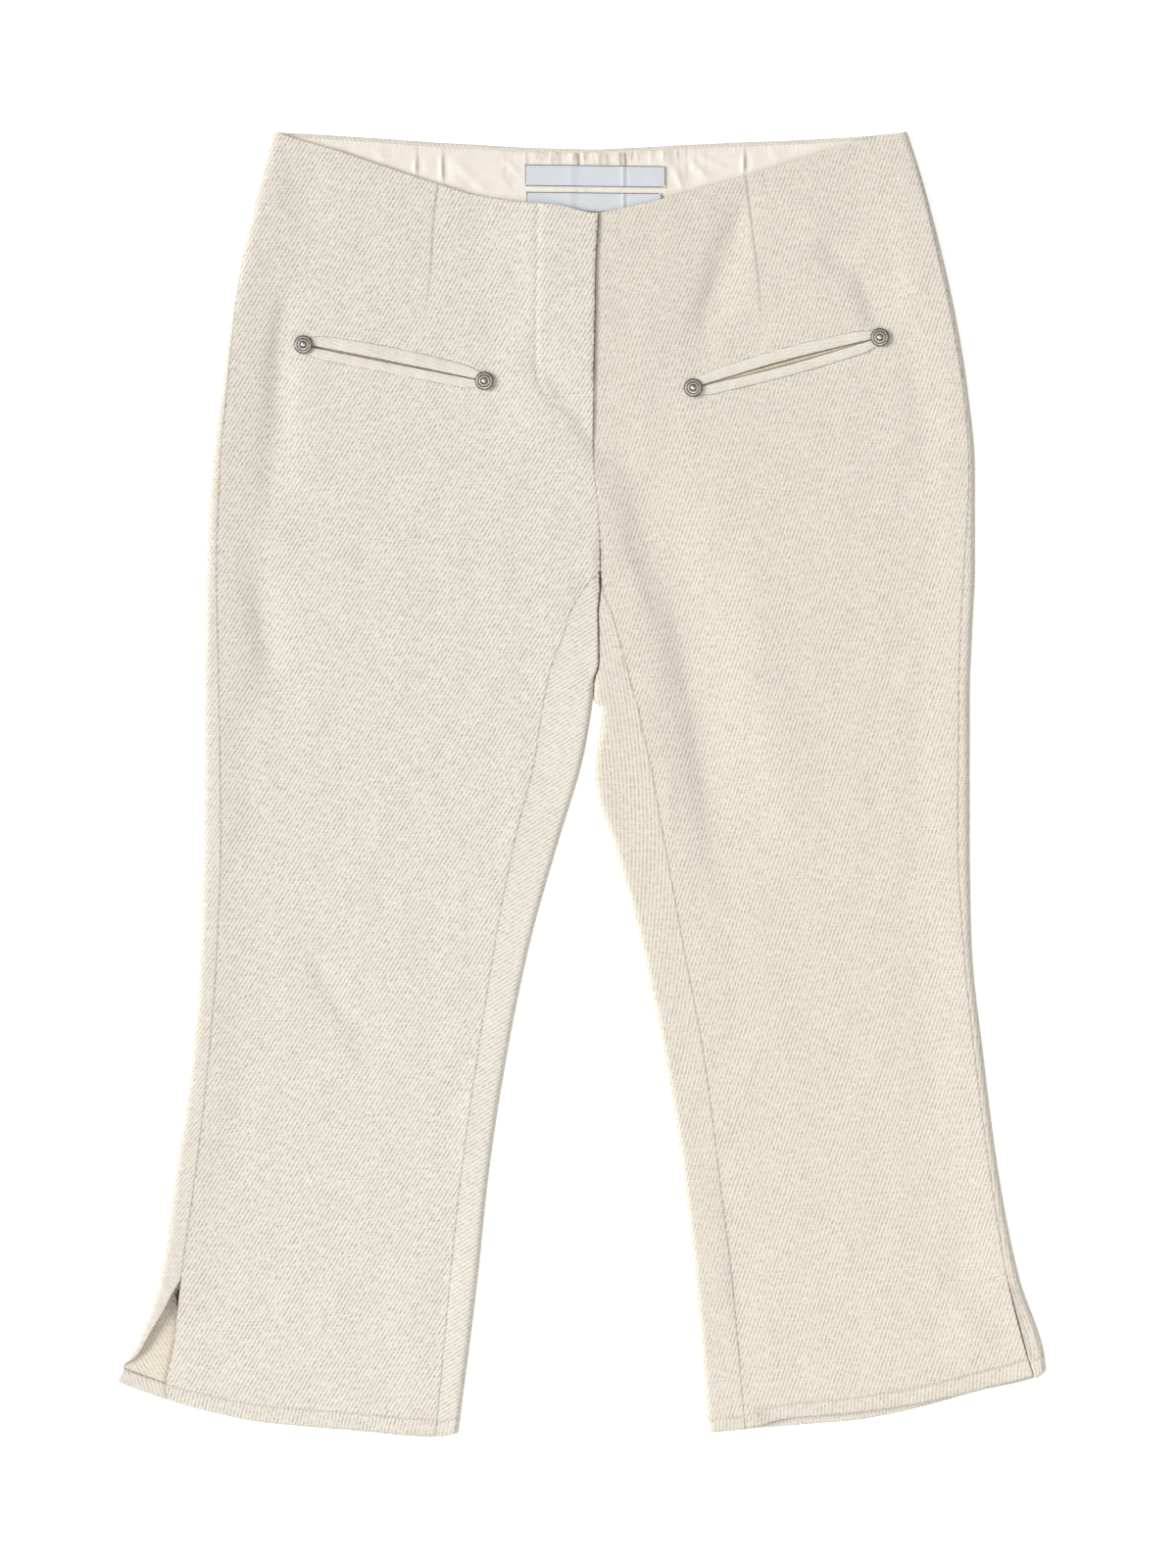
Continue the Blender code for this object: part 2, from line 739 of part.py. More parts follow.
def lining_height(x, y):
    """Underside of the satin: flat on the back panel, lifted by its gathers and creases where it shows."""
    shows = ease((y - WAIST("front", x)) / LINING_FADE)
    gathered = ease((x - GATHER_FROM) / GATHER_FADE) * ease((GATHER_TO - x) / GATHER_FADE)
    wave = 0.5 + 0.5 * math.sin(2 * math.pi * x / GATHER_SPACING + 0.9 * math.sin(x / 13.0))
    pressed = 1.0
    for (x0, top), (x1, _), height in LABELS.values():
        beyond = max(x0 - x, x - x1, y - top, top - height - y)
        pressed = min(pressed, PRESSED + (1 - PRESSED) * ease(beyond / PRESSED_REACH))
    relief = GATHER_RISE * gathered * wave * pressed
    creases = LINING_CREASES.columns
    for at, rise, width in zip(creases["x"], creases["rise"], creases["width"]):
        relief += rise * math.exp(-(((x - at) / width) ** 2))
    return LINING_Z + shows * relief


def lining_columns():
    """Column places across the waist, close together over the gathers."""
    ends = [
        leg.outside("outer", WAIST_TOP) - leg.side * LINING_SIDE_INSET for leg in LEGS
    ]
    stretches = (
        (ends[0], GATHER_FROM, LINING_SIDE_COLUMNS),
        (GATHER_FROM, GATHER_TO, LINING_GATHER_COLUMNS),
        (GATHER_TO, ends[1], LINING_SIDE_COLUMNS),
    )
    places = [ends[0]]
    for start, end, count in stretches:
        places += list(np.linspace(start, end, count + 1)[1:])
    return places


def waist_lining(material):
    places = lining_columns()

    def place(column, row):
        x = places[round(column * (len(places) - 1))]
        top = WAIST("back", x) - LINING_TOP_DROP
        bottom = WAIST("front", x) - LINING_UNDER_FRONT
        y = bottom + row * (top - bottom)
        z = lining_height(x, y)
        return (x, y, z + THIN), (x, y, z)

    return make_object("waist_lining", sheet_wall(len(places) - 1, LINING_ROWS, place), material)


def label(name, material):
    """A bare woven label, flat on the gathers that it presses down."""
    (x0, top0), (x1, top1), height = LABELS[name]

    def place(column, row):
        x = x0 + column * (x1 - x0)
        y = top0 + column * (top1 - top0) - (1 - row) * height
        z = LINING_Z + PRESSED * GATHER_RISE + THIN + SEAM_GAP
        return (x, y, z + THIN), (x, y, z)

    return make_object(name, sheet_wall(LABEL_COLUMNS, LABEL_ROWS, place), material)


def fly_shield(material):
    def place(column, row):
        y = SHIELD_BOTTOM + row * (SHIELD_TOP - SHIELD_BOTTOM)
        x = CENTRE_FRONT("x", y) + SHIELD_FROM + column * (SHIELD_TO - SHIELD_FROM)
        return (x, y, SHIELD_Z + THIN), (x, y, SHIELD_Z)

    return make_object("fly_shield", sheet_wall(4, FLY_STEPS, place), material)


def bridge_rings(mesh, rings):
    """Side faces between rings of points, and a cap on the first and the last."""
    made = [[mesh.verts.new([MM * value for value in point]) for point in ring] for ring in rings]
    for ring, following in zip(made[:-1], made[1:]):
        for i in range(len(ring)):
            j = (i + 1) % len(ring)
            mesh.faces.new([ring[i], ring[j], following[j], following[i]])
    mesh.faces.new(made[0][::-1])
    mesh.faces.new(made[-1])
    bmesh.ops.recalc_face_normals(mesh, faces=mesh.faces)


def zip_tape(material):
    """The tape with its closed chain as a low ridge along the middle."""
    half, chain, slope = ZIP_WIDTH / 2, CHAIN_WIDTH / 2, 0.4
    profile = (
        (-half, 0.0),
        (half, 0.0),
        (half, ZIP_TAPE),
        (chain, ZIP_TAPE),
        (chain - slope, ZIP_TAPE + CHAIN_RISE),
        (slope - chain, ZIP_TAPE + CHAIN_RISE),
        (-chain, ZIP_TAPE),
        (-half, ZIP_TAPE),
    )
    mesh = bmesh.new()
    bridge_rings(
        mesh,
        [
            [(CENTRE_FRONT("x", y) + ZIP_CENTRE + x, y, ZIP_Z + z) for x, z in profile]
            for y in np.linspace(ZIP_BOTTOM, ZIP_TOP, FLY_STEPS + 1)
        ],
    )
    return make_object("zip", mesh, material)


def zip_slider(material):
    """The slider at the closed end of the chain, with its pull tab lying down it."""
    body, neck, tab = SLIDER_WIDTH / 2, NECK_WIDTH / 2, TAB_WIDTH / 2
    waist = -SLIDER_LENGTH / 2
    half_outline = (
        (body * 0.6, SLIDER_LENGTH / 2),
        (body, SLIDER_LENGTH / 4),
        (neck, waist),
        (neck, waist - 1.0),
        (tab, waist - 2.5),
        (tab, waist + 1.5 - TAB_LENGTH),
        (tab * 0.5, waist - TAB_LENGTH),
    )
    outline = half_outline + tuple((-x, y) for x, y in reversed(half_outline))
    centre = CENTRE_FRONT("x", SLIDER_Y) + ZIP_CENTRE
    base = ZIP_Z + ZIP_TAPE + CHAIN_RISE + SEAM_GAP
    mesh = bmesh.new()
    bridge_rings(
        mesh,
        [
            [(centre + x, SLIDER_Y + y, base + z) for x, y in outline]
            for z in (0.0, SLIDER_THICKNESS)
        ],
    )
    return make_object("zip_slider", mesh, material)


def gape_at(pocket, share):
    return pocket.gape * math.sin(math.pi * share)


def welt(pocket, upper, material):
    """One lip of the mouth, laid on the panel from one rivet's core to the other's."""
    way = 1 if upper else -1
    ends = (RIVET_CORE + 2 * SEAM_GAP) / pocket.length

    def place(column, row):
        share = ends + column * (1 - 2 * ends)
        bow = pocket.upper_bow * math.sin(math.pi * share) if upper else 0.0
        start = gape_at(pocket, share) / 2 + SEAM_GAP / 2
        x, y = pocket.mouth(share, way * (start + row * (WELT_WIDTH + bow)))
        low = on_cloth(pocket.leg, x, y, SEAM_GAP)
        return on_cloth(pocket.leg, x, y, SEAM_GAP + THIN), low

    name = f"welt_{'upper' if upper else 'lower'}_{pocket.leg.name}"
    return make_object(name, sheet_wall(WELT_COLUMNS, 2, place), material)


def cut_mouth(pocket, panel):
    """Cuts the lens-shaped slot through the front panel between the welts."""
    shares = np.linspace(SLOT_ENDS, 1 - SLOT_ENDS, 9)
    sides = []
    for way in (1, -1):
        sides.append(
            [pocket.mouth(share, way * (gape_at(pocket, share) / 2 + SLOT_SPARE)) for share in shares]
        )
    outline = sides[0] + sides[1][::-1]
    mesh = bmesh.new()
    bridge_rings(mesh, [[(x, y, z) for x, y in outline] for z in (0.0, 2 * LAP_UPPER)])
    cutter = make_object(f"mouth_cutter_{pocket.leg.name}", mesh, panel.data.materials[0])
    cutter.hide_render = True
    cutter.display_type = "WIRE"
    slot = panel.modifiers.new("pocket mouth", "BOOLEAN")
    slot.operation = "DIFFERENCE"
    slot.object = cutter


def pocket_bag(pocket, material):
    """The pouch behind the mouth, as it lies against the inside of the front panel."""
    inside = -(CLOTH + SEAM_GAP)

    def place(column, row):
        narrowing = 0.6 * max(0.0, (0.35 - row) / 0.35) ** 2
        share = 0.5 + (column - 0.5) * (1.0 - narrowing)
        x, mouth_y = pocket.mouth(share)
        y = mouth_y + BAG_ABOVE - (1 - row) * (BAG_ABOVE + BAG_DEPTH)
        outer = on_cloth(pocket.leg, x, y, inside)
        return outer, on_cloth(pocket.leg, x, y, inside - THIN)

    name = f"pocket_bag_{pocket.leg.name}"
    return make_object(name, sheet_wall(BAG_COLUMNS, BAG_ROWS, place), material)


def rivet(pocket, end, material):
    """A round cap over the welts' ends with a core that stands on the panel, turned on its own axis."""
    x, y = pocket.mouth(0.0 if end == "outer" else 1.0)
    footprint = [
        on_cloth(pocket.leg, x + RIVET_RADIUS * math.cos(turn), y + RIVET_RADIUS * math.sin(turn), 0.0)[2]
        for turn in np.linspace(0.0, 2 * math.pi, 8, endpoint=False)
    ]
    base = max(footprint) + SEAM_GAP
    cap = base + THIN + SEAM_GAP
    columns = RIVET_PROFILE.columns
    profile = [(0.0, base), (RIVET_CORE, base), (RIVET_CORE, cap), (RIVET_RADIUS, cap)]
    profile += [(r, cap + z) for r, z in zip(columns["radius"][::-1], columns["height"][::-1])]
    profile += [(0.0, cap + RIVET_MIDDLE)]
    mesh = bmesh.new()
    points = [mesh.verts.new((MM * r, 0.0, MM * z)) for r, z in profile]
    edges = [mesh.edges.new(pair) for pair in zip(points[:-1], points[1:])]
    bmesh.ops.spin(
        mesh,
        geom=points + edges,
        cent=(0.0, 0.0, 0.0),
        axis=(0.0, 0.0, 1.0),
        angle=2 * math.pi,
        steps=RIVET_SIDES,
        use_merge=True,
    )
    bmesh.ops.remove_doubles(mesh, verts=mesh.verts, dist=1e-6)
    bmesh.ops.recalc_face_normals(mesh, faces=mesh.faces)
    made = make_object(f"rivet_{end}_{pocket.leg.name}", mesh, material, sharp=30.0)
    made.location = (MM * x, MM * y, 0.0)
    return made


def main():
    for old in list(bpy.data.objects):
        bpy.data.objects.remove(old)
    twill = make_material("twill", (0.80, 0.74, 0.65), 0.9)
    satin = make_material("satin", (0.85, 0.80, 0.72), 0.35)
    woven_label = make_material("woven label", (0.88, 0.87, 0.84), 0.6)
    zip_cloth = make_material("zip tape", (0.78, 0.72, 0.62), 0.7)
    pewter = make_material("pewter", (0.36, 0.34, 0.31), 0.35, 1.0)

    fronts = {leg: front_panel(leg, twill) for leg in LEGS}
    for leg in LEGS:
        back_panel(leg, twill)
    for pocket in POCKETS:
        cut_mouth(pocket, fronts[pocket.leg])
        pocket_bag(pocket, satin)
        for upper in (True, False):
            welt(pocket, upper, twill)
        for end in ("outer", "inner"):
            rivet(pocket, end, pewter)
    fly_shield(twill)
    zip_tape(zip_cloth)
    zip_slider(pewter)
    waist_lining(satin)
    for name in LABELS:
        label(name, woven_label)


main()
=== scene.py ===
"""The look of capri trousers laid flat on their back, front side up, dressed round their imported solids.

The panels, welts, pocket bags, fly, lining and labels are fine shells on the forms of their solids, with the
creases, darts, seam shoulders, hem bands and sewing of the real garment. The rivets are turned with rings.

Frame: +X to the wearer's left, +Y to the waist, +Z up from the surface below. Sizes are in millimetres, and
become metres where a mesh is made.
"""

import logging
import math
from collections.abc import Callable, Sequence
from dataclasses import dataclass, field
from enum import Enum
from functools import lru_cache

import bmesh
import bpy
import numpy as np
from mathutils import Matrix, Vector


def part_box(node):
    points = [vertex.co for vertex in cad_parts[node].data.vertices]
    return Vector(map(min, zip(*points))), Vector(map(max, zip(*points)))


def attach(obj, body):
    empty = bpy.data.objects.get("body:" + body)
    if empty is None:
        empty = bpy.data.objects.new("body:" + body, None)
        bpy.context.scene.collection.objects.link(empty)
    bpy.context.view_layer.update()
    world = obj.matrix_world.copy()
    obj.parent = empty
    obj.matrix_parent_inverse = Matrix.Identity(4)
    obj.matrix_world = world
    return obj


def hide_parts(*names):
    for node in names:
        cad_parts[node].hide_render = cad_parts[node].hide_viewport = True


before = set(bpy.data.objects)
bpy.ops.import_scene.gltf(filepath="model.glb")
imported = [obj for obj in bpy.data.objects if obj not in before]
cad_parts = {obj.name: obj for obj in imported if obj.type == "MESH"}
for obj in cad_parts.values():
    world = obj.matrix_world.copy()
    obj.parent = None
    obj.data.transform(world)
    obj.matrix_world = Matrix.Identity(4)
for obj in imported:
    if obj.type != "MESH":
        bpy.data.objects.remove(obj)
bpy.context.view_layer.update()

LOG = logging.getLogger("capri")
MM = 0.001
FAR = 1e3  # a distance at which no edge has any effect
BODY = "root"
Array = np.ndarray
Colour = tuple[float, float, float]
Point = tuple[float, float]


# ---------------------------------------------------------------- numbers


def ease(share: Array | float) -> Array:
    """A smooth step from 0 to 1.

    Args:
        share: Values, of which 0 to 1 is the step.

    Returns:
        The eased values.
    """
    share = np.clip(share, 0.0, 1.0)
    return share * share * (3.0 - 2.0 * share)


def bell(distance: Array | float, width: float) -> Array:
    """A bell curve of height 1 that has fallen to about a third at width."""
    return np.exp(-((distance / width) ** 2))


def rounded(distance: Array, radius: float) -> Array:
    """How much of its half thickness a turned edge has, at a distance in from it.

    Args:
        distance: Distances from the edge.
        radius: How far in the edge is round.

    Returns:
        Shares from almost 0 at the edge to 1 inside.
    """
    reach = np.clip(distance / radius, 0.0, 1.0)
    return np.maximum(np.sqrt(1.0 - (1.0 - reach) ** 2), 0.06)


def from_segment(x: Array, y: Array, start: Point, end: Point) -> tuple[Array, Array]:
    """Where points lie beside a straight segment.

    Args:
        x: Their x.
        y: Their y.
        start: The segment's first end.
        end: Its other end.

    Returns:
        The share of the way along it and the distance from it.
    """
    way = np.array(end) - np.array(start)
    share = ((x - start[0]) * way[0] + (y - start[1]) * way[1]) / (way @ way)
    share = np.clip(share, 0.0, 1.0)
    return share, np.hypot(x - start[0] - share * way[0], y - start[1] - share * way[1])


class Table:
    """A short table with named columns, each read as a smooth curve over the first one."""

    def __init__(self, columns: str, *rows: Sequence[float]) -> None:
        """Sorts the rows by their first column.

        Args:
            columns: The columns' names, with spaces between.
            rows: One row of numbers for each place.
        """
        values = np.array(sorted(rows), float)
        self.at = values[:, 0]
        self.columns = {name: values[:, i] for i, name in enumerate(columns.split())}
        self.slopes = {name: self._slopes(column) for name, column in self.columns.items()}

    def _slopes(self, column: Array) -> Array:
        """Slopes at the rows that make no overshoot between them.

        Args:
            column: The column's values.

        Returns:
            A slope for each row.
        """
        steps = np.diff(column) / np.diff(self.at)
        slopes = np.concatenate([steps[:1], np.zeros(len(steps) - 1), steps[-1:]])
        for i, (before, after) in enumerate(zip(steps[:-1], steps[1:]), start=1):
            if before * after > 0:
                slopes[i] = 2.0 * before * after / (before + after)
        return slopes

    def __call__(self, name: str, at: Array | float) -> Array:
        """Reads one column.

        Args:
            name: The column.
            at: Places in the first column's terms.

        Returns:
            The column's values there.
        """
        at = np.clip(at, self.at[0], self.at[-1])
        i = np.clip(np.searchsorted(self.at, at, side="right") - 1, 0, len(self.at) - 2)
        span = self.at[i + 1] - self.at[i]
        t = (at - self.at[i]) / span
        column, slopes = self.columns[name], self.slopes[name]
        return (
            column[i] * (1 + 2 * t) * (1 - t) ** 2
            + slopes[i] * span * t * (1 - t) ** 2
            + column[i + 1] * t * t * (3 - 2 * t)
            + slopes[i + 1] * span * t * t * (t - 1)
        )


# ---------------------------------------------------------------- the garment's form


class Cut(Enum):
    """Which panel of a leg a piece belongs to."""

    FRONT = "front"
    BACK = "back"


@dataclass(frozen=True, eq=False)
class Leg:
    """One leg with its half of the hips. side is -1 for the wearer's right and +1 for the left."""

    name: str
    side: int
    outside: Table  # y, outer = widest point, outseam = the front's side edge on top, roll = radius
    inside: Table  # y, inseam = the front's inner edge on top, inner = edge of the leg below the crotch
    hem: Table  # x, front, back = height of the hem edge of each panel
    vent: Table  # y, free = how far the back's side edge has left the front's, open = 1 where it lies flat
    dart: Table  # y, x of the dart, and of its line on down the leg
    dart_tip: float  # height at which the dart ends
    band: Table  # x, depth of the turned hem
    band_mark: float  # how dark its line is
    strip_turn: float  # degrees that the ribs turn by on the inner strip
    strip_lean: float  # how far the strip's ribs lean over towards the crotch

    @property
    def vent_top(self) -> float:
        """Height at which the side vent starts."""
        return float(self.vent.at[-1])


RIGHT = Leg(
    "right",
    -1,
    Table(
        "y outer outseam roll",
        (380, -179.5, -179.5, 3.4), (348, -188, -188, 3.7), (314, -196, -195.5, 4),
        (274, -204, -201.5, 4), (228, -210.5, -206, 4), (183, -216, -210, 4), (125, -219, -212, 4),
        (50, -220.5, -210.5, 4), (-34, -221, -209.5, 4), (-91, -222.5, -211.5, 4),
        (-159, -227.5, -216.5, 4), (-228, -237.5, -224.5, 4), (-293, -247.5, -233.5, 3.9),
        (-325, -259, -237, 2.8), (-333, -263.5, -238.5, 2.2), (-337, -266.5, -239.5, 1.5),
        (-348, -271, -241.5, 0.8),
    ),
    Table(
        "y inseam inner",
        (124, 11, 11), (113, 1, 10.8), (100, -6.5, 9.6), (85, -11, 10), (70, -17, 10), (60, -19.5, 7.2),
        (50, -21.5, 6.75), (28, -25, 3.6), (12, -27.5, 0.3), (-34, -39, -13.5), (-91, -50, -29.5),
        (-159, -60.5, -43.5), (-228, -70, -54), (-290, -76.5, -60.5), (-377, -84.5, -71.5),
    ),
    Table(
        "x front back",
        (-271, -347, -348), (-244, -357, -357.7), (-217, -364.5, -365.5), (-187, -370.2, -371.5),
        (-134, -374.8, -376.3), (-88, -378.2, -380), (-71, -376.5, -377.5),
    ),
    Table(
        "y free open",
        (-288, 0, 0), (-296, 4, 0), (-306.4, 8.2, 0), (-316.4, 13.2, 0), (-329, 18.6, 0),
        (-335.5, 20.8, 0.25), (-341, 25, 1),
    ),
    Table(
        "y x",
        (380, -80.5), (348, -83.5), (328.6, -85.8), (301, -87.5), (269, -91.2), (100, -98), (-34, -119),
        (-159, -134), (-290, -150), (-377, -158),
    ),
    266.0,
    Table("x depth", (-271, 9.6), (-71, 8.6)),
    0.22,
    30.0,
    0.0,
)

LEFT = Leg(
    "left",
    1,
    Table(
        "y outer outseam roll",
        (380, 189.5, 189.5, 3.4), (348, 199.5, 198.6, 3.7), (314, 208.5, 206, 4), (274, 217.5, 215, 4),
        (228, 225, 222.3, 4), (183, 229, 225.5, 4), (125, 229, 222.5, 4), (92, 227.5, 220.5, 4),
        (50, 226, 219.5, 4), (-34, 226, 219, 4), (-91, 227, 222, 4), (-159, 234, 229, 4),
        (-228, 243, 238, 4), (-286, 254.5, 247.5, 4), (-330, 269, 258.5, 3.8), (-345, 271, 263.5, 3.6),
    ),
    Table(
        "y inseam inner",
        (124, 11, 11), (113, 12.6, 10.8), (100, 17.5, 9.6), (85, 22, 10), (70, 26, 10), (60, 28.7, 7.2),
        (50, 31.5, 6.75), (43, 33.5, 11.4), (24, 37.5, 9), (6, 41.5, 7), (-6, 43.5, 8.6),
        (-34, 48.5, 18), (-91, 59, 33.5), (-159, 71.5, 47.5), (-228, 80.5, 58.5), (-290, 88, 65.5),
        (-377, 95.5, 73),
    ),
    Table(
        "x front back",
        (73.2, -376.6, -374.4), (74.5, -376.4, -376.2), (77, -376.3, -376.8), (86, -375.5, -376),
        (98, -374.2, -375.2), (108, -371.4, -374.4), (119, -368.8, -373.6), (140, -366.9, -371.9),
        (155, -365.7, -370.8), (178, -362.8, -367), (199, -359.4, -362.2), (231, -352, -353.3),
        (264, -343.4, -345.5), (271, -340, -341),
    ),
    Table(
        "y free open",
        (-286, 0, 0), (-300, 0.4, 0), (-316, 0.55, 0), (-329, 0.4, 0), (-334, 0.1, 0), (-345, 0.1, 0),
    ),
    Table(
        "y x",
        (380, 93), (350.8, 96), (323, 99.5), (293.8, 102.9), (266.5, 104.6), (100, 112), (-34, 128),
        (-159, 146), (-290, 165), (-377, 176),
    ),
    264.0,
    Table("x depth", (73, 7.2), (160, 8.6), (271, 11.4)),
    0.34,
    0.0,
    0.25,
)

LEGS = (RIGHT, LEFT)

# Where the seams at the middle of the garment run.
CENTRE_FRONT = Table(
    "y x",
    (380, 10.5), (332, 10), (305, 8.5), (274, 8), (226, 7), (202, 6.6), (183, 7.5), (166, 9.2),
    (148, 10.4), (124, 11),
)
CENTRE_BACK = Table("y x", (380, 4), (200, 5), (50, 6.75))

# Height of the front's and the back's waist edge.
WAIST = Table(
    "x front back",
    (-179.5, 380, 380), (-160, 373.8, 379), (-144.5, 369.6, 378), (-116, 360, 376.2),
    (-84.5, 349.7, 374), (-59, 342.4, 372.6), (-36, 339, 371.2), (-13, 337, 370.4), (8, 332.4, 370),
    (22, 335, 370.6), (38, 338.4, 371.3), (55, 343, 372.3), (72, 347.4, 373.1), (96, 354.4, 374.2),
    (118, 361, 375), (146, 369.6, 376.4), (169, 376, 378), (189.5, 380, 380),
)


@dataclass(frozen=True)
class Crease:
    """A soft ridge in the upper layer, or a trough where rise is negative, which is gentler towards +X."""

    start: Point
    end: Point
    rise: float
    width: float
    gentler: float = 2.3

    def lift(self, x: Array, y: Array) -> Array:
        """How far it lifts the cloth at these places.

        Args:
            x: Their x.
            y: Their y.

        Returns:
            The lift of each.
        """
        share, distance = from_segment(x, y, self.start, self.end)
        over, up = self.end[0] - self.start[0], self.end[1] - self.start[1]
        beyond = ((x - self.start[0]) * up - (y - self.start[1]) * over) * up > 0
        width = np.where(beyond & (self.rise < 0), self.gentler * self.width, self.width)
        return self.rise * np.sin(math.pi * share) * bell(distance, width)


def creases(*rows: Sequence[float]) -> tuple[Crease, ...]:
    """Creases from rows of numbers: x and y where each starts, x and y where it ends, its rise and width."""
    return tuple(Crease((x0, y0), (x1, y1), rise, width) for x0, y0, x1, y1, rise, width in rows)


# The soft folds that the solids have too.
FOLDS = creases(
    (-171, 292, -182, 150, -2, 7), (-194, 142, -176, 32, -1.5, 7.5), (-167.5, 372, -169.5, 322, -0.8, 6),
    (-159, -92, -118, -172, -1, 7), (-76, -262, -81, -352, -0.8, 6), (-28, 262, -21, 228, -0.8, 6),
    (-24, 232, 6, 208, -1, 6), (-2, 214, 18, 178, -0.9, 6), (16, 222, 68, 58, -2.8, 12),
    (52, 124, 86, -70, -2.9, 12.2), (88, 125, 120, -20, 0.7, 16), (61.5, 240, 99, 354, -2.2, 9.5),
    (92, 282, 106, 334, 0.6, 8), (133, 312, 161, 300, -1.3, 5.5), (157, 304, 176, 258, -1.5, 6),
    (83, 263, 138, 284, -0.7, 7), (79, -205, 99, -362, -0.8, 5), (214, -296, 240, -330, 0.8, 10),
    (176, 380, 207, 232, 0.8, 9),
)

# Smaller creases, placed on the upper layer.
FINE_CREASES = creases(
    (-172, 296, -181, 232, -0.5, 3.4), (-163, 290, -171, 165, 0.6, 9), (-190, 205, -186, 165, -0.3, 3.5),
    (-190, 126, -179, 52, -0.4, 3.5), (-160, -98, -136, -138, -0.3, 3), (18, 172, 47, 95, -0.5, 3.8),
    (-27, 248, -3, 213, -0.6, 3.2), (-7, 220, 15, 187, -0.6, 3.6), (58, 80, 72, 6, -0.4, 4.4),
    (-44, 262, -22, 236, -0.3, 5), (-36, 322, -37, 262, -0.35, 5), (68, 262, 82, 308, -0.6, 3.2),
    (84, 312, 96, 344, -0.5, 2.8), (137, 311.5, 156, 303, -0.35, 3), (158, 300, 171, 276, -0.4, 3),
    (120, 344, 150, 300, 0.4, 9), (-150, 250, -172, 214, 0.4, 7), (-120, 345, -108, 290, 0.3, 9),
    (190, 250, 205, 175, -0.3, 6), (-30, 20, -46, -60, 0.35, 5), (-24, 100, -42, 30, -0.4, 4),
    (48, 18, 54, -36, 0.4, 3.5), (-62, -150, -70, -235, 0.3, 4.5), (-150, -310, -90, -322, -0.25, 9),
    (104, -90, 130, -200, 0.35, 12), (190, -60, 206, -190, -0.3, 9), (204, -270, 236, -318, -0.35, 5),
    (120, -300, 200, -290, 0.25, 10), (-140, 120, -100, 60, 0.35, 14), (-120, -20, -70, -90, -0.3, 14),
)


@dataclass(frozen=True)
class Drape:
    """Heights and rolls of the cloth as it lies. Heights are those of its outside, from the surface below."""

    seam_gap: float = 0.3
    cloth: float = 1.4
    thin: float = 1.0
    turned: float = 2.6
    upper: float = 6.6
    waist_upper: float = 6.7
    hem_upper: float = 6.9
    lap_upper: float = 8.6
    underlap_upper: float = 6.9
    hem_y: float = -365.0
    fold_y: float = 50.0
    crotch_y: float = 124.0
    crotch_tip: float = 122.6
    pinch_line: float = 160.0
    waist_y: float = 375.0
    fly_end: float = 221.0
    underlap: float = 7.0
    underlap_reach: float = 15.0
    side_reach: float = 30.0
    inner_reach: float = 22.0
    fly_half_width: float = 24.0
    fly_reach: float = 40.0
    inner_roll: float = 3.5
    crotch_roll: float = 2.9
    crease_turn: float = 65.0
    crease_reach: float = 20.0
    seat_reach: float = 14.0
    waist_rise: Point = (260.0, 70.0)  # from, reach
    hem_rise: Point = (-300.0, 50.0)
    fly_rise: Point = (180.0, 36.0)
    undulation: float = 0.14  # how far the cloth is from level where nothing folds it
    undulation_length: float = 46.0
    roll_steps: int = 16
    path_step: float = 1.5

    def lift(self, x: Array, y: Array) -> Array:
        """How far small creases and undulations move the upper layer at these places.

        Args:
            x: Their x.
            y: Their y.

        Returns:
            The lift of each.
        """
        lift = sum(crease.lift(x, y) for crease in FINE_CREASES)
        turn = 2 * math.pi / self.undulation_length
        wander = np.sin(turn * (x + 0.6 * y) + 1.3 * np.sin(turn * 0.41 * y))
        wander = wander * np.sin(turn * (0.8 * y - 0.5 * x) + 1.1 * np.sin(turn * 0.37 * x))
        return lift + self.undulation * wander


DRAPE = Drape()
HEM_BAND = 9.0  # depth of the turned hem among the rows, before each leg's own depth
STRIP_COLUMNS = 22  # columns of a back's strip, beside the inseam


class Path:
    """A line of points in a cross-section, read by its length."""

    def __init__(self, points: Array, ways: tuple[Point, Point]) -> None:
        """Measures the line.

        Args:
            points: Its points, x and z.
            ways: Its exact directions at its two ends.
        """
        steps = np.linalg.norm(np.diff(points, axis=0), axis=1)
        self.points = points[np.concatenate([[True], steps > 1e-9])]
        self.lengths = np.concatenate([[0.0], np.cumsum(steps[steps > 1e-9])])
        self.directions = np.gradient(self.points, self.lengths, axis=0)
        self.directions[[0, -1]] = ways
        self.length = float(self.lengths[-1])

    def at(self, length: Array) -> tuple[Array, Array]:
        """Points and unit directions at these lengths along it.

        Args:
            length: Lengths from its start.

        Returns:
            The points, and the directions, with two numbers each.
        """
        point = np.stack([np.interp(length, self.lengths, self.points[:, i]) for i in (0, 1)], -1)
        way = np.stack([np.interp(length, self.lengths, self.directions[:, i]) for i in (0, 1)], -1)
        return point, way / np.linalg.norm(way, axis=-1, keepdims=True)


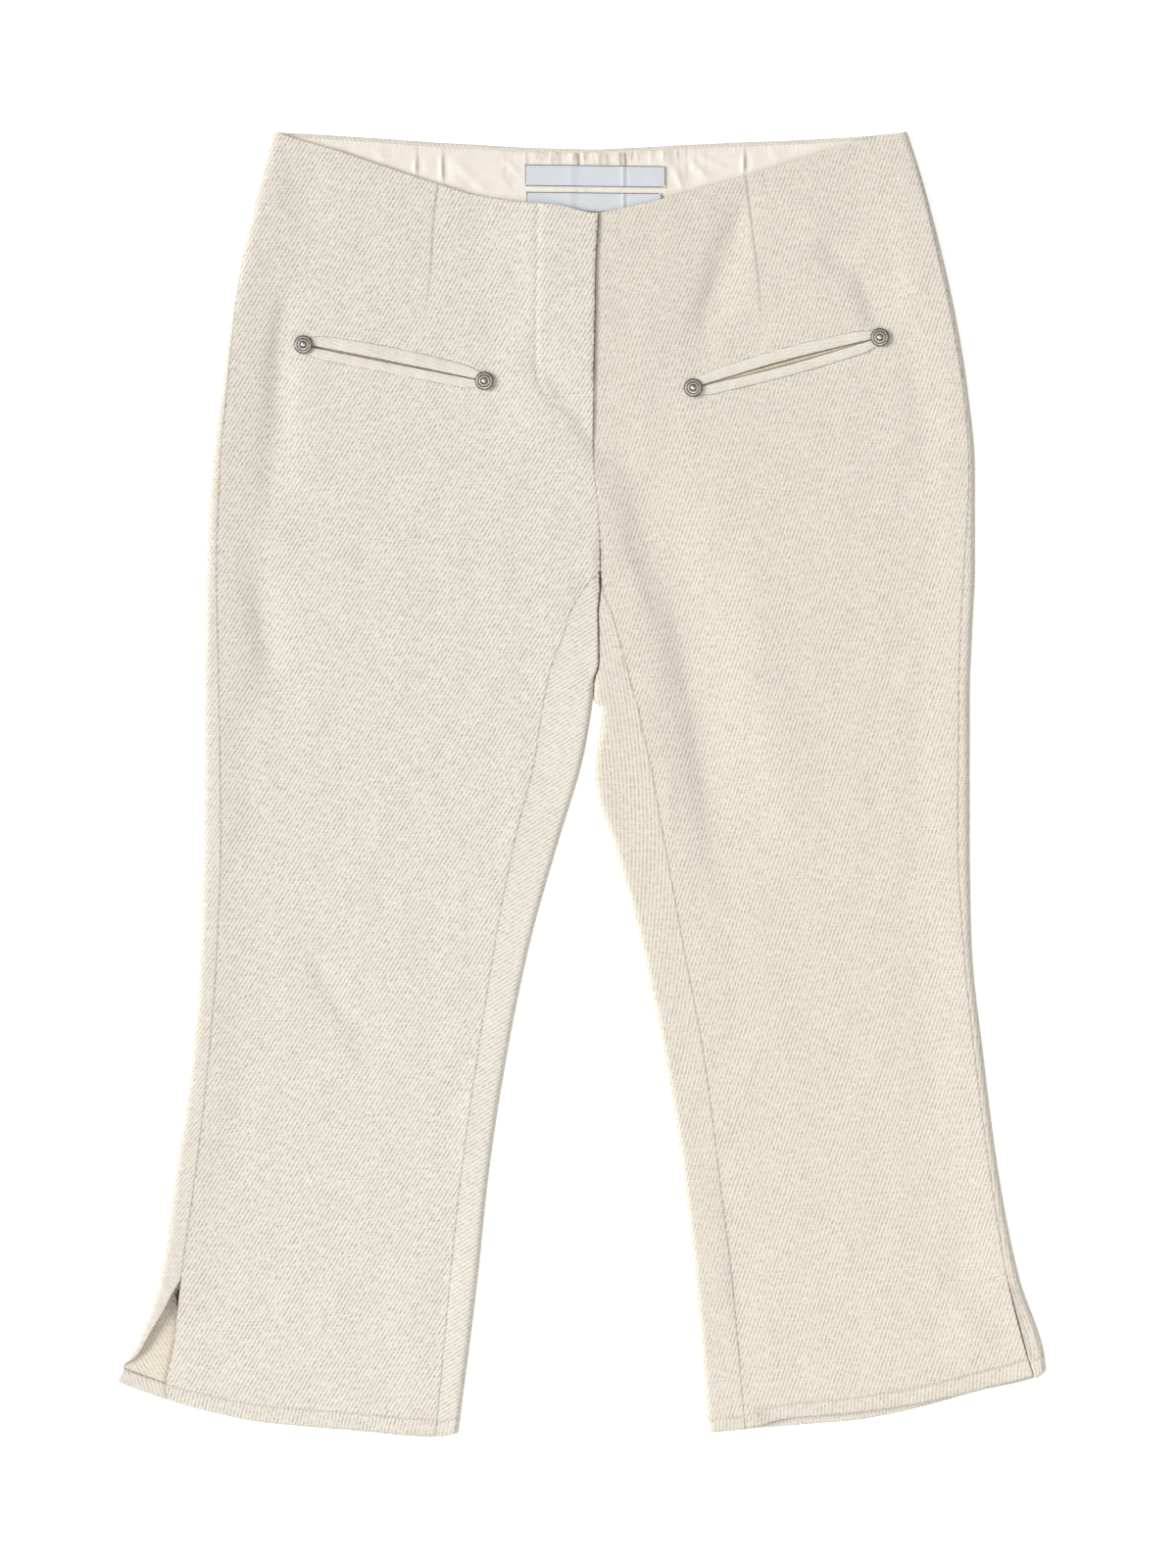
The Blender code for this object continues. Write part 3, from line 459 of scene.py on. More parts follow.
class Section:
    """The outside of one leg, cut across at a height, as two paths that start at the side roll.

    A place on it is a distance from the widest point: above zero along the upper path, below it along
    the lower path. The chart of a place is how far round the cloth it is, as x where the cloth is flat.
    """

    def __init__(self, leg: Leg, y: float) -> None:
        """Lays out both paths.

        Args:
            leg: The leg that is cut.
            y: The height of the cut.
        """
        drape = DRAPE
        self.leg, self.y = leg, y
        self.outer, self.roll = float(leg.outside("outer", y)), float(leg.outside("roll", y))
        self.inner: float | None = None
        if y < drape.crotch_y:
            self.inner = float(leg.inside("inner", y)) + leg.side * drape.seam_gap / 2
        opened = ease((y - drape.fold_y) / (drape.crotch_y - drape.fold_y))
        self.inner_roll = float(drape.inner_roll + (drape.crotch_roll - drape.inner_roll) * opened)
        turned = 90.0 + drape.crease_turn * ease((y - drape.fold_y) / drape.crease_reach)
        upper_turn = math.radians(float(turned))
        lower_turn = math.radians(float(90.0 * (1.0 - ease((y - drape.fold_y) / drape.seat_reach))))
        centre_back = float(CENTRE_BACK("x", y))
        if self.inner is None:
            upper_turn = math.pi
            upper_end = float(CENTRE_FRONT("x", y)) - (drape.underlap + 1.0 if leg is LEFT else 0.0)
        else:
            upper_end = self.inner
        lower_end = self.inner if y < drape.fold_y else centre_back
        self.upper = self._path(math.pi, upper_end, upper_turn, self.upper_height)
        self.lower = self._path(0.0, lower_end, lower_turn, np.zeros_like)

    def middle_height(self, x: Array) -> Array:
        """Height of the upper layer's outside, away from the rolls at its sides.

        Args:
            x: Places across the leg.

        Returns:
            The height over each.
        """
        drape = DRAPE
        z = drape.upper + np.zeros_like(x)
        z += (drape.waist_upper - drape.upper) * ease((self.y - drape.waist_rise[0]) / drape.waist_rise[1])
        z += (drape.hem_upper - drape.upper) * ease((drape.hem_rise[0] - self.y) / drape.hem_rise[1])
        over_zip = (drape.lap_upper if self.leg is RIGHT else drape.underlap_upper) - z
        from_fly = np.abs(x - CENTRE_FRONT("x", self.y)) - drape.fly_half_width
        along_fly = ease((self.y - drape.fly_rise[0]) / drape.fly_rise[1])
        z += over_zip * (1.0 - ease(from_fly / drape.fly_reach)) * along_fly
        return z + sum(fold.lift(x, np.full_like(x, self.y)) for fold in FOLDS)

    def upper_height(self, x: Array) -> Array:
        """Height of the upper layer's outside, brought down or up to the rolls at its sides.

        Args:
            x: Places across the leg.

        Returns:
            The height over each.
        """
        middle = self.middle_height(x)
        from_side = np.abs(x - self.outer) - self.roll
        z = middle + (2 * self.roll - middle) * (1 - ease(from_side / DRAPE.side_reach))
        if self.inner is not None:
            from_inner = np.abs(x - self.inner) - self.inner_roll
            z += (2 * self.inner_roll - middle) * (1 - ease(from_inner / DRAPE.inner_reach))
        return z

    def _path(self, level: float, end: float, last_turn: float, height: Callable[[Array], Array]) -> Path:
        """A path from the widest point round the side roll, inwards, and into the inner roll.

        Args:
            level: The turn round a roll, from its lowest point, at which this path runs flat.
            end: The x at which it stops.
            last_turn: The turn of the inner roll there.
            height: The height of its flat stretch over x.

        Returns:
            The path.
        """
        side, steps = self.leg.side, DRAPE.roll_steps
        turns = np.linspace(math.pi / 2, level, steps)
        first = np.stack(
            [self.outer - side * self.roll * (1 - np.sin(turns)), self.roll * (1 - np.cos(turns))], -1
        )
        start = self.outer - side * self.roll
        flat_end = end + side * self.inner_roll * math.sin(last_turn)
        xs = np.linspace(start, flat_end, max(2, int(abs(flat_end - start) / DRAPE.path_step)))[1:]
        parts = [first, np.stack([xs, height(xs)], -1)]
        if last_turn != level:
            turns = np.linspace(level, last_turn, steps)[1:]
            roll = self.inner_roll
            parts.append(np.stack([flat_end - side * roll * np.sin(turns), roll * (1 - np.cos(turns))], -1))
        upwards = 1 if level else -1
        ways = ((0.0, upwards), (upwards * side * math.cos(last_turn), -upwards * math.sin(last_turn)))
        return Path(np.concatenate(parts), ways)

    def distance(self, x: Array | float) -> Array:
        """The distance on the upper path at which it passes over x.

        Args:
            x: Places across the leg.

        Returns:
            A distance for each.
        """
        inwards = -self.leg.side * self.upper.points[:, 0]
        seen = slice(int(np.argmax(inwards)) + 1)
        return np.interp(-self.leg.side * np.asarray(x), inwards[seen], self.upper.lengths[seen])

    def line(self, table: Table, column: str = "x") -> float:
        """The distance on the upper path of a line that a table gives over the height."""
        return float(self.distance(float(table(column, self.y))))

    def places(self, distances: Array) -> Array:
        """Where these distances lie.

        Args:
            distances: Distances from the widest point.

        Returns:
            A row for each: x, z, and the x and z of the direction out of the cloth.
        """
        rows = np.zeros((len(distances), 4))
        for path, chosen, turn in ((self.upper, distances >= 0, 1), (self.lower, distances < 0, -1)):
            if chosen.any():
                point, way = path.at(np.abs(distances[chosen]))
                rows[chosen, :2] = point
                rows[chosen, 2:] = turn * self.leg.side * np.stack([way[:, 1], -way[:, 0]], -1)
        return rows


@lru_cache(maxsize=None)
def section(leg: Leg, y: float) -> Section:
    """The cut of a leg at a height, made once."""
    return Section(leg, y)


def on_cloth(leg: Leg, x: Array, y: Array, lift: float = 0.0) -> Array:
    """Points of the upper layer's outside.

    Args:
        leg: The leg.
        x: Their x.
        y: Their y.
        lift: How far they are moved out of the cloth.

    Returns:
        A point for each, with three numbers.
    """
    points = np.zeros((*np.shape(x), 3))
    fine = DRAPE.lift(np.asarray(x), np.asarray(y)) + lift
    for at in np.ndindex(np.shape(x)):
        cut = section(leg, round(float(y[at]) * 2) / 2)
        px, pz, nx, nz = cut.places(np.array([float(cut.distance(x[at]))]))[0]
        points[at] = (px + fine[at] * nx, y[at], pz + fine[at] * nz)
    return points


def row_height(leg: Leg, cut: Cut, nominal: Array, x: Array) -> Array:
    """Heights of rows over x: level at the crotch, and turning into the hem's and the waist's own curve.

    Args:
        leg: The leg.
        cut: Which of its panels.
        nominal: The rows' heights at the hem's and waist's own level.
        x: Where each is read.

    Returns:
        Their heights there.
    """
    drape = DRAPE
    low = (drape.fold_y - nominal) / (drape.fold_y - drape.hem_y)
    high = np.maximum(0.0, (nominal - drape.crotch_y) / (drape.waist_y - drape.crotch_y))
    below = nominal + low * (leg.hem(cut.value, x) - drape.hem_y)
    above = nominal + high * (WAIST(cut.value, x) - drape.waist_y)
    in_band = nominal - drape.hem_y
    stretch = (leg.band("depth", x) / HEM_BAND - 1.0) * (1.0 - ease((in_band - 14.0) / 40.0))
    return np.where(nominal < drape.fold_y, below + in_band * stretch, above)


# ---------------------------------------------------------------- meshes


@dataclass
class Patch:
    """A grid of places on one stretch of cloth, row by row."""

    outer: Array  # rows x columns x 3, on the outside of the cloth
    inner: Array  # the same, on its inside
    chart: Array  # rows x columns x 2, on the flat cloth
    seam: Array  # rows x columns, 1 in a seam and 0 away from it; it also holds painted shade
    kept: Array  # cells that are cloth and not a hole
    turn: Array  # degrees that the cloth's ribs are turned by in each cell
    inside: Array  # index of the finish on the inside of each cell


def rotated(x: Array, y: Array, angle: Array | float) -> Array:
    """Places in a plane, turned about its origin by an angle in radians, with two numbers each."""
    return np.stack([x * np.cos(angle) - y * np.sin(angle), x * np.sin(angle) + y * np.cos(angle)], -1)


def points_of(mesh: bpy.types.Mesh) -> Array:
    """A mesh's points, with three numbers each.

    Args:
        mesh: The mesh.

    Returns:
        A row for each point.
    """
    points = np.zeros(len(mesh.vertices) * 3, np.float32)
    mesh.vertices.foreach_get("co", points)
    return points.reshape(-1, 3)


def corners_of(grid: Array) -> Array:
    """The four corners of each cell of a grid of indices, one cell to a row."""
    return np.stack([grid[:-1, :-1], grid[:-1, 1:], grid[1:, 1:], grid[1:, :-1]], -1).reshape(-1, 4)


def cells_of(values: Array) -> Array:
    """The mean of each cell's corners in a grid of values."""
    return (values[:-1, :-1] + values[:-1, 1:] + values[1:, 1:] + values[1:, :-1]) / 4


def finished(mesh: bpy.types.Mesh, sharp: float) -> bpy.types.Object:
    """A smooth object of this mesh, with its name, whose edges stay sharp above an angle in degrees.

    Args:
        mesh: The mesh.
        sharp: The angle.

    Returns:
        The new object.
    """
    mesh.shade_smooth()
    mesh.set_sharp_from_angle(angle=math.radians(sharp))
    made = bpy.data.objects.new(mesh.name, mesh)
    bpy.context.scene.collection.objects.link(made)
    LOG.info("%s: %d faces", made.name, len(mesh.polygons))
    return made


def shell(name: str, patches: Sequence[Patch], materials: Sequence[bpy.types.Material]) -> bpy.types.Object:
    """One closed shell of cloth from patches that meet along shared rows or columns.

    Args:
        name: The piece's name.
        patches: Its stretches.
        materials: The finish of its outside and edges, and those of its inside.

    Returns:
        The new object.
    """
    outer = np.concatenate([patch.outer.reshape(-1, 3) for patch in patches])
    inner = np.concatenate([patch.inner.reshape(-1, 3) for patch in patches])
    chart = np.concatenate([patch.chart.reshape(-1, 2) for patch in patches])
    seam = np.concatenate([patch.seam.reshape(-1) for patch in patches])
    keys = np.round(np.hstack([outer, inner]) * 1e4).astype(np.int64)
    _, first, same = np.unique(keys, axis=0, return_index=True, return_inverse=True)
    same = same.reshape(-1)
    raw, turns, insides, start = [], [], [], 0
    for patch in patches:
        rows, columns = patch.seam.shape
        grid = start + np.arange(rows * columns).reshape(rows, columns)
        cells = corners_of(grid)
        faced = np.cross(outer[cells[:, 2]] - outer[cells[:, 0]], outer[cells[:, 3]] - outer[cells[:, 1]])
        if np.sum(faced * (outer - inner)[cells[:, 0]]) < 0:
            cells = cells[:, ::-1]
        kept = patch.kept.reshape(-1)
        raw.append(cells[kept])
        turns.append(patch.turn.reshape(-1)[kept])
        insides.append(patch.inside.reshape(-1)[kept])
        start += rows * columns
    raw, turns, insides = np.concatenate(raw), np.concatenate(turns), np.concatenate(insides)
    outside = same[raw]
    count = len(first)
    ends = np.stack([outside, np.roll(outside, -1, axis=1)], -1).reshape(-1, 2)
    chart_ends = np.stack([raw, np.roll(raw, -1, axis=1)], -1).reshape(-1, 2)
    _, which, uses = np.unique(np.sort(ends, axis=1), axis=0, return_inverse=True, return_counts=True)
    open_edges = uses[which.reshape(-1)] == 1
    a, b = ends[open_edges].T
    chart_a, chart_b = chart_ends[open_edges].T
    sides = np.stack([b, a, a + count, b + count], -1)
    faces = np.concatenate([outside, outside[:, ::-1] + count, sides])
    turned = rotated(chart[raw][..., 0], chart[raw][..., 1], np.radians(turns)[:, None])
    side_chart = chart[np.stack([chart_b, chart_a, chart_a, chart_b], -1)]
    charts = np.concatenate([turned, turned[:, ::-1], side_chart])
    finish = np.concatenate([np.zeros(len(outside)), insides, np.zeros(len(sides))])
    points = np.concatenate([outer[first], inner[first]])
    marks = np.concatenate([seam[first]] * 2)
    mesh = bpy.data.meshes.new(name)
    mesh.from_pydata((points * MM).tolist(), [], faces.tolist())
    for material in materials:
        mesh.materials.append(material)
    layer = mesh.uv_layers.new(name="cloth")
    layer.data.foreach_set("uv", (charts.reshape(-1) * MM).astype(np.float32))
    # the seam attribute, with its seam lines and painted shade, is set alike on the outside and the inside of
    # the cloth
    layer = mesh.attributes.new("seam", "FLOAT", "POINT")
    layer.data.foreach_set("value", marks.astype(np.float32))
    mesh.polygons.foreach_set("material_index", finish.astype(np.int32))
    return finished(mesh, 55.0)


def plain_patch(outer: Array, inner: Array, chart: Array) -> Patch:
    """A patch with no seam, hole or turned ribs, whose inside has the finish of its outside.

    Args:
        outer: Places on its outside.
        inner: Places on its inside.
        chart: Places on the flat cloth.

    Returns:
        The patch.
    """
    rows, columns = outer.shape[:2]
    none = np.zeros((rows - 1, columns - 1))
    return Patch(outer, inner, chart, np.zeros((rows, columns)), none == 0, none, none)


def slab(x: Array, y: Array, low: Array | float, high: Array) -> Patch:
    """A plain patch between two heights over each place, whose chart is the place itself."""
    outer, inner = (np.stack([x, y, z + 0.0 * x], -1) for z in (high, low))
    return plain_patch(outer, inner, np.stack([x, y], -1))


def joined_copies(
    name: str, model: bpy.types.Object, frames: Array, material: bpy.types.Material
) -> bpy.types.Object:
    """One mesh of many copies of a small model, which is then removed.

    Args:
        name: The piece's name.
        model: The object to copy, in metres about the origin.
        frames: A 4 x 4 matrix for each copy, in metres.
        material: The finish.

    Returns:
        The joined object.
    """
    step = len(model.data.vertices)
    points = np.hstack([points_of(model.data), np.ones((step, 1))])
    placed = np.einsum("nij,pj->npi", frames, points)[..., :3].reshape(-1, 3)
    corners = [list(polygon.vertices) for polygon in model.data.polygons]
    faces = [[i + n * step for i in face] for n in range(len(frames)) for face in corners]
    mesh = bpy.data.meshes.new(name)
    mesh.from_pydata(placed.tolist(), [], faces)
    mesh.materials.append(material)
    bpy.data.objects.remove(model)
    return finished(mesh, 50.0)


def frames_along(points: Array, ways: Array) -> Array:
    """Frames whose X runs along a line and whose Z is upright, or as near as the line allows.

    Args:
        points: Their places in millimetres.
        ways: The line's directions.

    Returns:
        A 4 x 4 matrix for each, in metres.
    """
    ways = ways / np.linalg.norm(ways, axis=1, keepdims=True)
    across = np.cross((0.0, 0.0, 1.0), ways)
    across /= np.linalg.norm(across, axis=1, keepdims=True)
    frames = np.zeros((len(points), 4, 4))
    frames[:, :3, 0], frames[:, :3, 1] = ways, across
    frames[:, :3, 2] = np.cross(ways, across)
    frames[:, :3, 3] = points * MM
    frames[:, 3, 3] = 1.0
    return frames


def choose_faces(model: bpy.types.Object, axis: int, way: int) -> None:
    """In edit mode, selects the faces that look along an axis, or against it, and no others.

    Args:
        model: The object in edit mode.
        axis: 0, 1 or 2 for X, Y or Z.
        way: 1 along the axis and -1 against it.
    """
    bpy.ops.mesh.select_all(action="DESELECT")
    for face in bmesh.from_edit_mesh(model.data).faces:
        face.select = face.normal[axis] * way > 0.9
    bmesh.update_edit_mesh(model.data)


def dress(piece: bpy.types.Object, slot: str, *nodes: str) -> bpy.types.Object:
    """Puts a piece on the body and hides the solids that it stands for.

    Args:
        piece: The piece.
        slot: Not used.
        nodes: The solids' names, if it stands for any.

    Returns:
        The same piece.
    """
    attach(piece, BODY)
    if nodes:
        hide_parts(*nodes)
    return piece


# ---------------------------------------------------------------- finishes


def linear(red: int, green: int, blue: int) -> Colour:
    """A colour given as screen values from 0 to 255, as the shader's linear values.

    Args:
        red: Its red.
        green: Its green.
        blue: Its blue.

    Returns:
        The same colour for a shader.
    """

    def channel(value: int) -> float:
        """One of its three values."""
        share = value / 255
        return share / 12.92 if share <= 0.04045 else ((share + 0.055) / 1.055) ** 2.4

    return channel(red), channel(green), channel(blue)


Value = bpy.types.NodeSocket | float | tuple


class Graph:
    """The shader nodes of one finish, each added and joined in one call."""

    def __init__(self, name: str) -> None:
        """Makes the material with its Principled shader.

        Args:
            name: The finish's name.
        """
        self.material = bpy.data.materials.new(name)
        self.material.use_nodes = True
        self.tree = self.material.node_tree
        self.shader = self.tree.nodes["Principled BSDF"]

    def put(self, node: bpy.types.Node, key: str | int, value: Value) -> None:
        """Joins a socket to a node's input, or sets the input to a value.

        Args:
            node: The node.
            key: The input's name or number.
            value: The socket or value.
        """
        if isinstance(value, bpy.types.NodeSocket):
            self.tree.links.new(value, node.inputs[key])
        else:
            node.inputs[key].default_value = value

    def add(
        self, kind: str, inputs: dict[str | int, Value] | None = None, **settings: object
    ) -> bpy.types.Node:
        """Adds a node.

        Args:
            kind: Its type, without the ShaderNode in front.
            inputs: What its inputs are joined to or set to.
            settings: Its other settings.

        Returns:
            The node.
        """
        node = self.tree.nodes.new("ShaderNode" + kind)
        for key, value in settings.items():
            setattr(node, key, value)
        for key, value in (inputs or {}).items():
            self.put(node, key, value)
        return node

    def math(self, operation: str, *values: Value) -> bpy.types.NodeSocket:
        """The result of a Math node."""
        return self.add("Math", dict(enumerate(values)), operation=operation).outputs[0]

    def vector(self, operation: str, *values: Value, scale: float | None = None) -> bpy.types.NodeSocket:
        """The result of a Vector Math node."""
        inputs = dict(enumerate(values)) | ({} if scale is None else {"Scale": scale})
        return self.add("VectorMath", inputs, operation=operation).outputs[0]

    def fit(self, value: Value, low: float, high: float, to: Point = (0.0, 1.0)) -> bpy.types.NodeSocket:
        """A value brought smoothly from one range to another."""
        inputs = {0: value, 1: low, 2: high, 3: to[0], 4: to[1]}
        return self.add("MapRange", inputs, interpolation_type="SMOOTHSTEP").outputs[0]

    def mix(self, factor: Value, first: Value, second: Value, blend: str = "MIX") -> bpy.types.NodeSocket:
        """Two colours mixed.

        Args:
            factor: The share of the second.
            first: A colour.
            second: The other.
            blend: How they mix.

        Returns:
            The mixed colour.
        """
        first, second = ((*value, 1.0) if isinstance(value, tuple) else value for value in (first, second))
        inputs = {0: factor, 6: first, 7: second}
        return self.add("Mix", inputs, data_type="RGBA", blend_type=blend).outputs[2]

    def noise(
        self, vector: Value, scale: float, detail: float = 2.0, roughness: float = 0.5
    ) -> bpy.types.Node:
        """A Noise node."""
        inputs = {"Vector": vector, "Scale": scale, "Detail": detail, "Roughness": roughness}
        return self.add("TexNoise", inputs)

    def chart(self) -> bpy.types.NodeSocket:
        """The place on the flat cloth, in millimetres."""
        return self.vector("SCALE", self.add("UVMap", uv_map="cloth").outputs["UV"], scale=1 / MM)

    def place(self) -> bpy.types.NodeSocket:
        """The place in the garment, in millimetres."""
        return self.vector("SCALE", self.add("TexCoord").outputs["Object"], scale=1 / MM)

    def seam(self) -> bpy.types.NodeSocket:
        """How dark a seam is here, or how much painted shade a crease, fold, edge, pleat or vent has, from 0
        to 1.
        """
        return self.add("Attribute", attribute_name="seam").outputs["Fac"]

    def stretched(self, vector: Value, along: float, across: float) -> bpy.types.NodeSocket:
        """A place in which one unit is this many millimetres along X and along Y."""
        return self.add("Mapping", {"Vector": vector, "Scale": (1 / along, 1 / across, 1.0)}).outputs[0]

    def bump(self, height: Value, distance: float) -> None:
        """Raises the surface by a height from 0 to 1, times a distance in metres."""
        node = self.add("Bump", {"Height": height, "Distance": distance, "Strength": 1.0})
        self.put(self.shader, "Normal", node.outputs[0])

    def surface(self, **values: Value) -> None:
        """Sets the shader's inputs, whose names have _ for spaces."""
        for key, value in values.items():
            self.put(self.shader, key.replace("_", " "), value)


@dataclass(frozen=True)
class Twill:
    """Wool twill: soft diagonal ribs, broken grooves between them, small slubs and a brushed surface."""

    name: str
    angle: float = 59.0  # of the ribs, in degrees from the weft
    pitch: float = 2.12
    light: Colour = linear(233, 227, 215)
    groove: Colour = linear(176, 166, 151)
    slub: Colour = linear(249, 246, 237)
    # colour of the seams, and of the painted shade in creases, at laps and edges, in vents and at pocket
    # mouths
    seam: Colour = linear(104, 80, 60)
    contrast: float = 1.0  # depth of the grooves' colour
    drift: float = 0.7  # how far the ribs wander
    drift_length: float = 22.0
    relief: float = 0.00018
    sheen: float = 0.12

    def material(self) -> bpy.types.Material:
        """The finish's nodes.

        Returns:
            The material.
        """
        g = Graph(self.name)
        flat = g.chart()
        wander = g.noise(flat, 1 / self.drift_length, 2.0)
        offset = g.vector("SUBTRACT", wander.outputs["Color"], (0.5, 0.5, 0.5))
        chart = g.vector("ADD", flat, g.vector("SCALE", offset, scale=self.drift))
        turn = (0.0, 0.0, -math.radians(self.angle))
        ribs = g.add("Mapping", {"Vector": chart, "Rotation": turn}).outputs[0]
        across = g.math("MULTIPLY", g.add("SeparateXYZ", {0: ribs}).outputs[1], 1 / self.pitch)
        rib_side = g.math("ABSOLUTE", g.math("MULTIPLY_ADD", g.math("FRACT", across), 2.0, -1.0))
        runs = g.noise(g.stretched(ribs, 2.6, 1.4), 1.0, 2.0, 0.6).outputs[0]
        knots = g.noise(g.stretched(ribs, 1.7, 1.0), 1.0, 1.0).outputs[0]
        weft = g.noise(g.stretched(chart, 9.0, 1.0), 1.0, 2.0).outputs[0]
        fibre = g.noise(chart, 1.7, 3.0, 0.6).outputs[0]
        patches = g.noise(chart, 1 / 26.0, 3.0, 0.55).outputs[0]

        broken = g.fit(runs, 0.32, 0.62, (0.25 * self.contrast, self.contrast))
        broken = g.math("MULTIPLY", broken, g.fit(weft, 0.30, 0.62, (1.0, 0.62)))
        hollow = g.math("MULTIPLY", g.fit(rib_side, 0.08, 0.95), broken)
        hollow = g.math("MULTIPLY_ADD", g.math("SUBTRACT", fibre, 0.5), 0.5, hollow)
        dark = g.math("MINIMUM", g.math("MAXIMUM", hollow, 0.0), 1.0)
        colour = g.mix(dark, self.light, self.groove)
        colour = g.mix(g.fit(knots, 0.60, 0.76, (0.0, 0.6)), colour, self.slub)
        tone = g.math("MULTIPLY_ADD", patches, 0.06, 0.97)
        tone = g.math("MULTIPLY_ADD", g.math("SUBTRACT", weft, 0.5), 0.15, tone)
        shade = g.add("CombineColor", {0: tone, 1: tone, 2: tone}).outputs[0]
        colour = g.mix(1.0, colour, shade, "MULTIPLY")
        # The seam attribute mixes in the seam colour, for sewn seams and for painted shade. Marks of about
        # 0.3 to 0.75 are dotted like sewing; weaker and stronger ones, mostly painted shade, are solid.
        mark = g.seam()
        dotted = g.fit(g.noise(flat, 0.5, 2.0).outputs[0], 0.40, 0.62)
        dotted = g.math("MAXIMUM", dotted, g.fit(mark, 0.75, 0.95))
        dotted = g.math("MAXIMUM", dotted, g.fit(mark, 0.24, 0.32, (1.0, 0.0)))
        colour = g.mix(g.math("MULTIPLY", mark, dotted), colour, self.seam)

        height = g.math("MULTIPLY_ADD", fibre, 0.35, g.math("SUBTRACT", 1.0, hollow))
        g.bump(g.math("MULTIPLY_ADD", weft, 0.25, height), self.relief)
        g.surface(Base_Color=colour, Roughness=0.92, Sheen_Weight=self.sheen, Sheen_Roughness=0.5)
        g.surface(Specular_IOR_Level=0.15)
        return g.material


@dataclass(frozen=True)
class Satin:
    """Lining satin: smooth, with a fine warp and a soft gloss."""

    name: str
    colour: Colour = linear(242, 235, 224)
    shade: Colour = linear(232, 223, 210)
    roughness: float = 0.42
    pleat_shade: Colour = linear(150, 126, 106)  # painted shade in the depth of a pleat

    def material(self) -> bpy.types.Material:
        """The finish's nodes.

        Returns:
            The material.
        """
        g = Graph(self.name)
        chart = g.chart()
        warp = g.noise(g.stretched(chart, 0.31, 8.3), 1.0, 2.0).outputs[0]
        clouds = g.noise(chart, 1 / 9.0, 2.0).outputs[0]
        tone = g.math("MULTIPLY_ADD", warp, 0.5, g.math("MULTIPLY", clouds, 0.5))
        # painted shade in the pleats, from the seam attribute
        mark = g.seam()
        g.surface(
            Base_Color=g.mix(mark, g.mix(g.fit(tone, 0.3, 0.7), self.colour, self.shade), self.pleat_shade),
            Roughness=self.roughness,
            Sheen_Weight=0.1,
            Specular_IOR_Level=0.4,
        )
        g.bump(warp, 0.00004)
        return g.material


@dataclass(frozen=True)
class LabelWeave:
    """The dense weave of a sewn-in label."""

    name: str
    colour: Colour = linear(220, 223, 226)
    thread: Colour = linear(202, 206, 211)
    rows: float = 2.4  # weft yarns to the millimetre

    def material(self) -> bpy.types.Material:
        """The finish's nodes.

        Returns:
            The material.
        """
        g = Graph(self.name)
        chart = g.chart()
        axes = g.add("SeparateXYZ", {0: chart})
        wave = g.math("SINE", g.math("MULTIPLY", axes.outputs[1], 2 * math.pi * self.rows))
        grain = g.noise(chart, 1.3, 3.0).outputs[0]
        tone = g.math("MULTIPLY_ADD", wave, 0.22, grain)
        g.surface(
            Base_Color=g.mix(g.fit(tone, 0.25, 0.8), self.colour, self.thread),
            Roughness=0.55,
            Sheen_Weight=0.15,
            Specular_IOR_Level=0.3,
        )
        g.bump(tone, 0.00005)
        return g.material


@dataclass(frozen=True)
class Thread:
    """Spun sewing thread."""

    name: str
    colour: Colour
    dark: Colour

    def material(self) -> bpy.types.Material:
        """The finish's nodes.

        Returns:
            The material.
        """
        g = Graph(self.name)
        grain = g.noise(g.place(), 2.2, 2.0).outputs[0]
        g.surface(Base_Color=g.mix(g.fit(grain, 0.35, 0.65), self.colour, self.dark), Roughness=0.8)
        g.bump(grain, 0.00005)
        return g.material


@dataclass(frozen=True)
class Pewter:
    """Cast metal with an antique finish: bright where it is rubbed, dark in its grooves."""

    name: str
    bright: Colour = linear(232, 227, 219)
    dull: Colour = linear(196, 189, 179)
    roughness: float = 0.3

    def material(self) -> bpy.types.Material:
        """The finish's nodes.

        Returns:
            The material.
        """
        g = Graph(self.name)
        grain = g.noise(g.place(), 0.9, 4.0, 0.6).outputs[0]
        fine = g.noise(g.place(), 6.0, 2.0).outputs[0]
        rough = g.fit(grain, 0.3, 0.7, (self.roughness - 0.06, self.roughness + 0.14))
        g.surface(
            Base_Color=g.mix(g.fit(grain, 0.35, 0.7), self.bright, self.dull),
            Metallic=1.0,
            Roughness=rough,
        )
        g.bump(fine, 0.00003)
        return g.material


@dataclass(frozen=True)
class Tape:
    """The woven tape of a zip."""

    name: str
    colour: Colour = linear(226, 216, 198)
    line: Colour = linear(198, 184, 162)

    def material(self) -> bpy.types.Material:
        """The finish's nodes.

        Returns:
            The material.
        """
        g = Graph(self.name)
        axes = g.add("SeparateXYZ", {0: g.chart()})
        warp = g.math("SINE", g.math("MULTIPLY", axes.outputs[0], 2 * math.pi * 1.1))
        weft = g.math("SINE", g.math("MULTIPLY", axes.outputs[1], 2 * math.pi * 1.6))
        tone = g.math("MULTIPLY", warp, weft)
        g.surface(Base_Color=g.mix(g.fit(tone, -0.8, 0.9), self.colour, self.line), Roughness=0.75)
        g.bump(tone, 0.00008)
        return g.material


